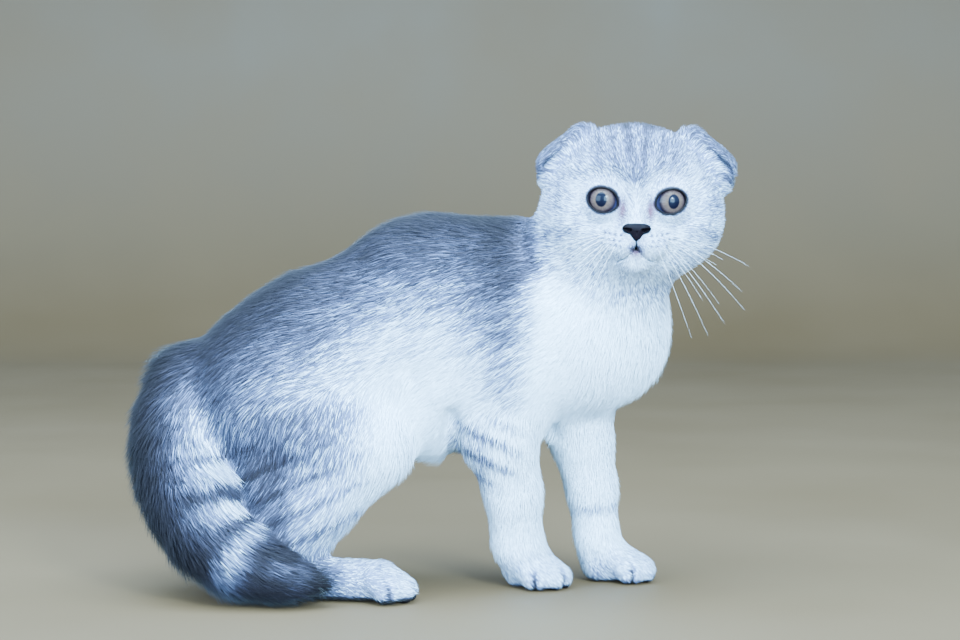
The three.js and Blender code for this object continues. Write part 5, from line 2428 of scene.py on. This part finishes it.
@dataclass(frozen=True)
class Lamp:
    """A square soft light, with its side in millimetres and its power in watts."""

    name: str
    at: Triple
    to: Triple
    side: float
    power: float
    colour: Triple


@dataclass
class Studio:
    """A plain pale floor and backdrop, soft light and the photograph's camera."""

    camera_at: Triple = (22.0, -1035.0, 174.0)
    pitch: float = 2.9
    lens: float = 85.0
    sensor: float = 36.0
    near_edge: float = -6000.0
    wall: float = 1900.0
    curve: float = 450.0
    curve_steps: int = 12
    top: float = 2600.0
    width: float = 12000.0
    floor: float = -0.3
    lamps: tuple[Lamp, ...] = (
        Lamp("key", (330, -860, 560), (60, 0, 110), 170, 34.0, (0.41, 0.72, 1.0)),
        Lamp("overhead", (-80, -250, 1150), (0, 0, 90), 1100, 125.0, (0.38, 0.67, 1.0)),
        Lamp("fill", (-900, -900, 420), (0, 0, 90), 900, 66.0, (0.38, 0.67, 1.0)),
        Lamp("front", (500, -1500, 400), (30, 0, 80), 900, 140.0, (0.37, 0.69, 1.0)),
    )
    sky: tuple = (0.38, 0.67, 1.0, 1.0)
    sky_strength: float = 5.0

    def build(self) -> None:
        """Set up the camera, the floor and the lights."""
        self._camera()
        self._sweep()
        self._lights()

    def _camera(self) -> None:
        """The camera, level with the head and tipped slightly down."""
        data = bpy.data.cameras.new("camera")
        data.lens, data.sensor_width, data.sensor_fit = self.lens, self.sensor, "HORIZONTAL"
        data.clip_start, data.clip_end = 0.02, 30.0
        camera = bpy.data.objects.new("camera", data)
        camera.location = (np.array(self.camera_at) + PART.shift) * MM
        camera.rotation_euler = (math.radians(90 - self.pitch), 0.0, 0.0)
        bpy.context.scene.camera = show(camera)

    def _sweep(self) -> None:
        """The floor, running up into the backdrop in one curve."""
        start = self.wall - self.curve
        profile = [(self.near_edge, self.floor), (start, self.floor)]
        for i in range(1, self.curve_steps + 1):
            angle = i / self.curve_steps * math.pi / 2
            rise = self.curve * (1 - math.cos(angle))
            profile.append((start + self.curve * math.sin(angle), self.floor + rise))
        profile.append((self.wall, self.top))
        points = [(x, y, z) for y, z in profile for x in (-self.width / 2, self.width / 2)]
        faces = [(2 * i, 2 * i + 1, 2 * i + 3, 2 * i + 2) for i in range(len(profile) - 1)]
        mesh = bpy.data.meshes.new("backdrop")
        mesh.from_pydata((np.array(points) * MM).tolist(), [], faces)
        mesh.polygons.foreach_set("use_smooth", [True] * len(faces))
        mesh.materials.append(PALE_BACKDROP.material())
        backdrop = show(bpy.data.objects.new("backdrop", mesh))

    def _lights(self) -> None:
        """Large soft lights, and a small one for the glint in the eyes."""
        for lamp in self.lamps:
            self._hang(lamp)
        world = bpy.data.worlds.new("studio")
        world.use_nodes = True
        background = world.node_tree.nodes["Background"]
        background.inputs["Color"].default_value = self.sky
        background.inputs["Strength"].default_value = self.sky_strength
        bpy.context.scene.world = world

    @staticmethod
    def _hang(lamp: Lamp) -> None:
        """Hang a light and point it.

        Args:
            lamp: the light.
        """
        data = bpy.data.lights.new(lamp.name, "AREA")
        data.size, data.energy, data.color = lamp.side * MM, lamp.power, lamp.colour
        light = show(bpy.data.objects.new(lamp.name, data))
        place, aim = (Vector((np.array(spot) + PART.shift) * MM) for spot in (lamp.at, lamp.to))
        light.location = place
        light.rotation_euler = (aim - place).to_track_quat("-Z", "Y").to_euler()


def main() -> None:
    """Build the kitten and its studio, piece by piece."""
    logging.basicConfig(level=logging.INFO, format="%(name)s: %(message)s")
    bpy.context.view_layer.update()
    Studio().build()
    zones = ZoneMap()
    LOG.info("zones are mapped")
    markings = Markings()
    skin = Skin()
    skin.build(zones)
    skin.unwrap()
    skin.dress(markings)
    LOG.info("skin is dressed")
    for name, plan in EYES.items():
        Eye(name, plan).build()
        LOG.info("eye %s is in", name)
    Nose().build()
    Lips().build(skin)
    Pads().build()
    Whiskers().build(skin)
    Coat().build(skin, markings, Lie())


if __name__ == "__main__":
    main()
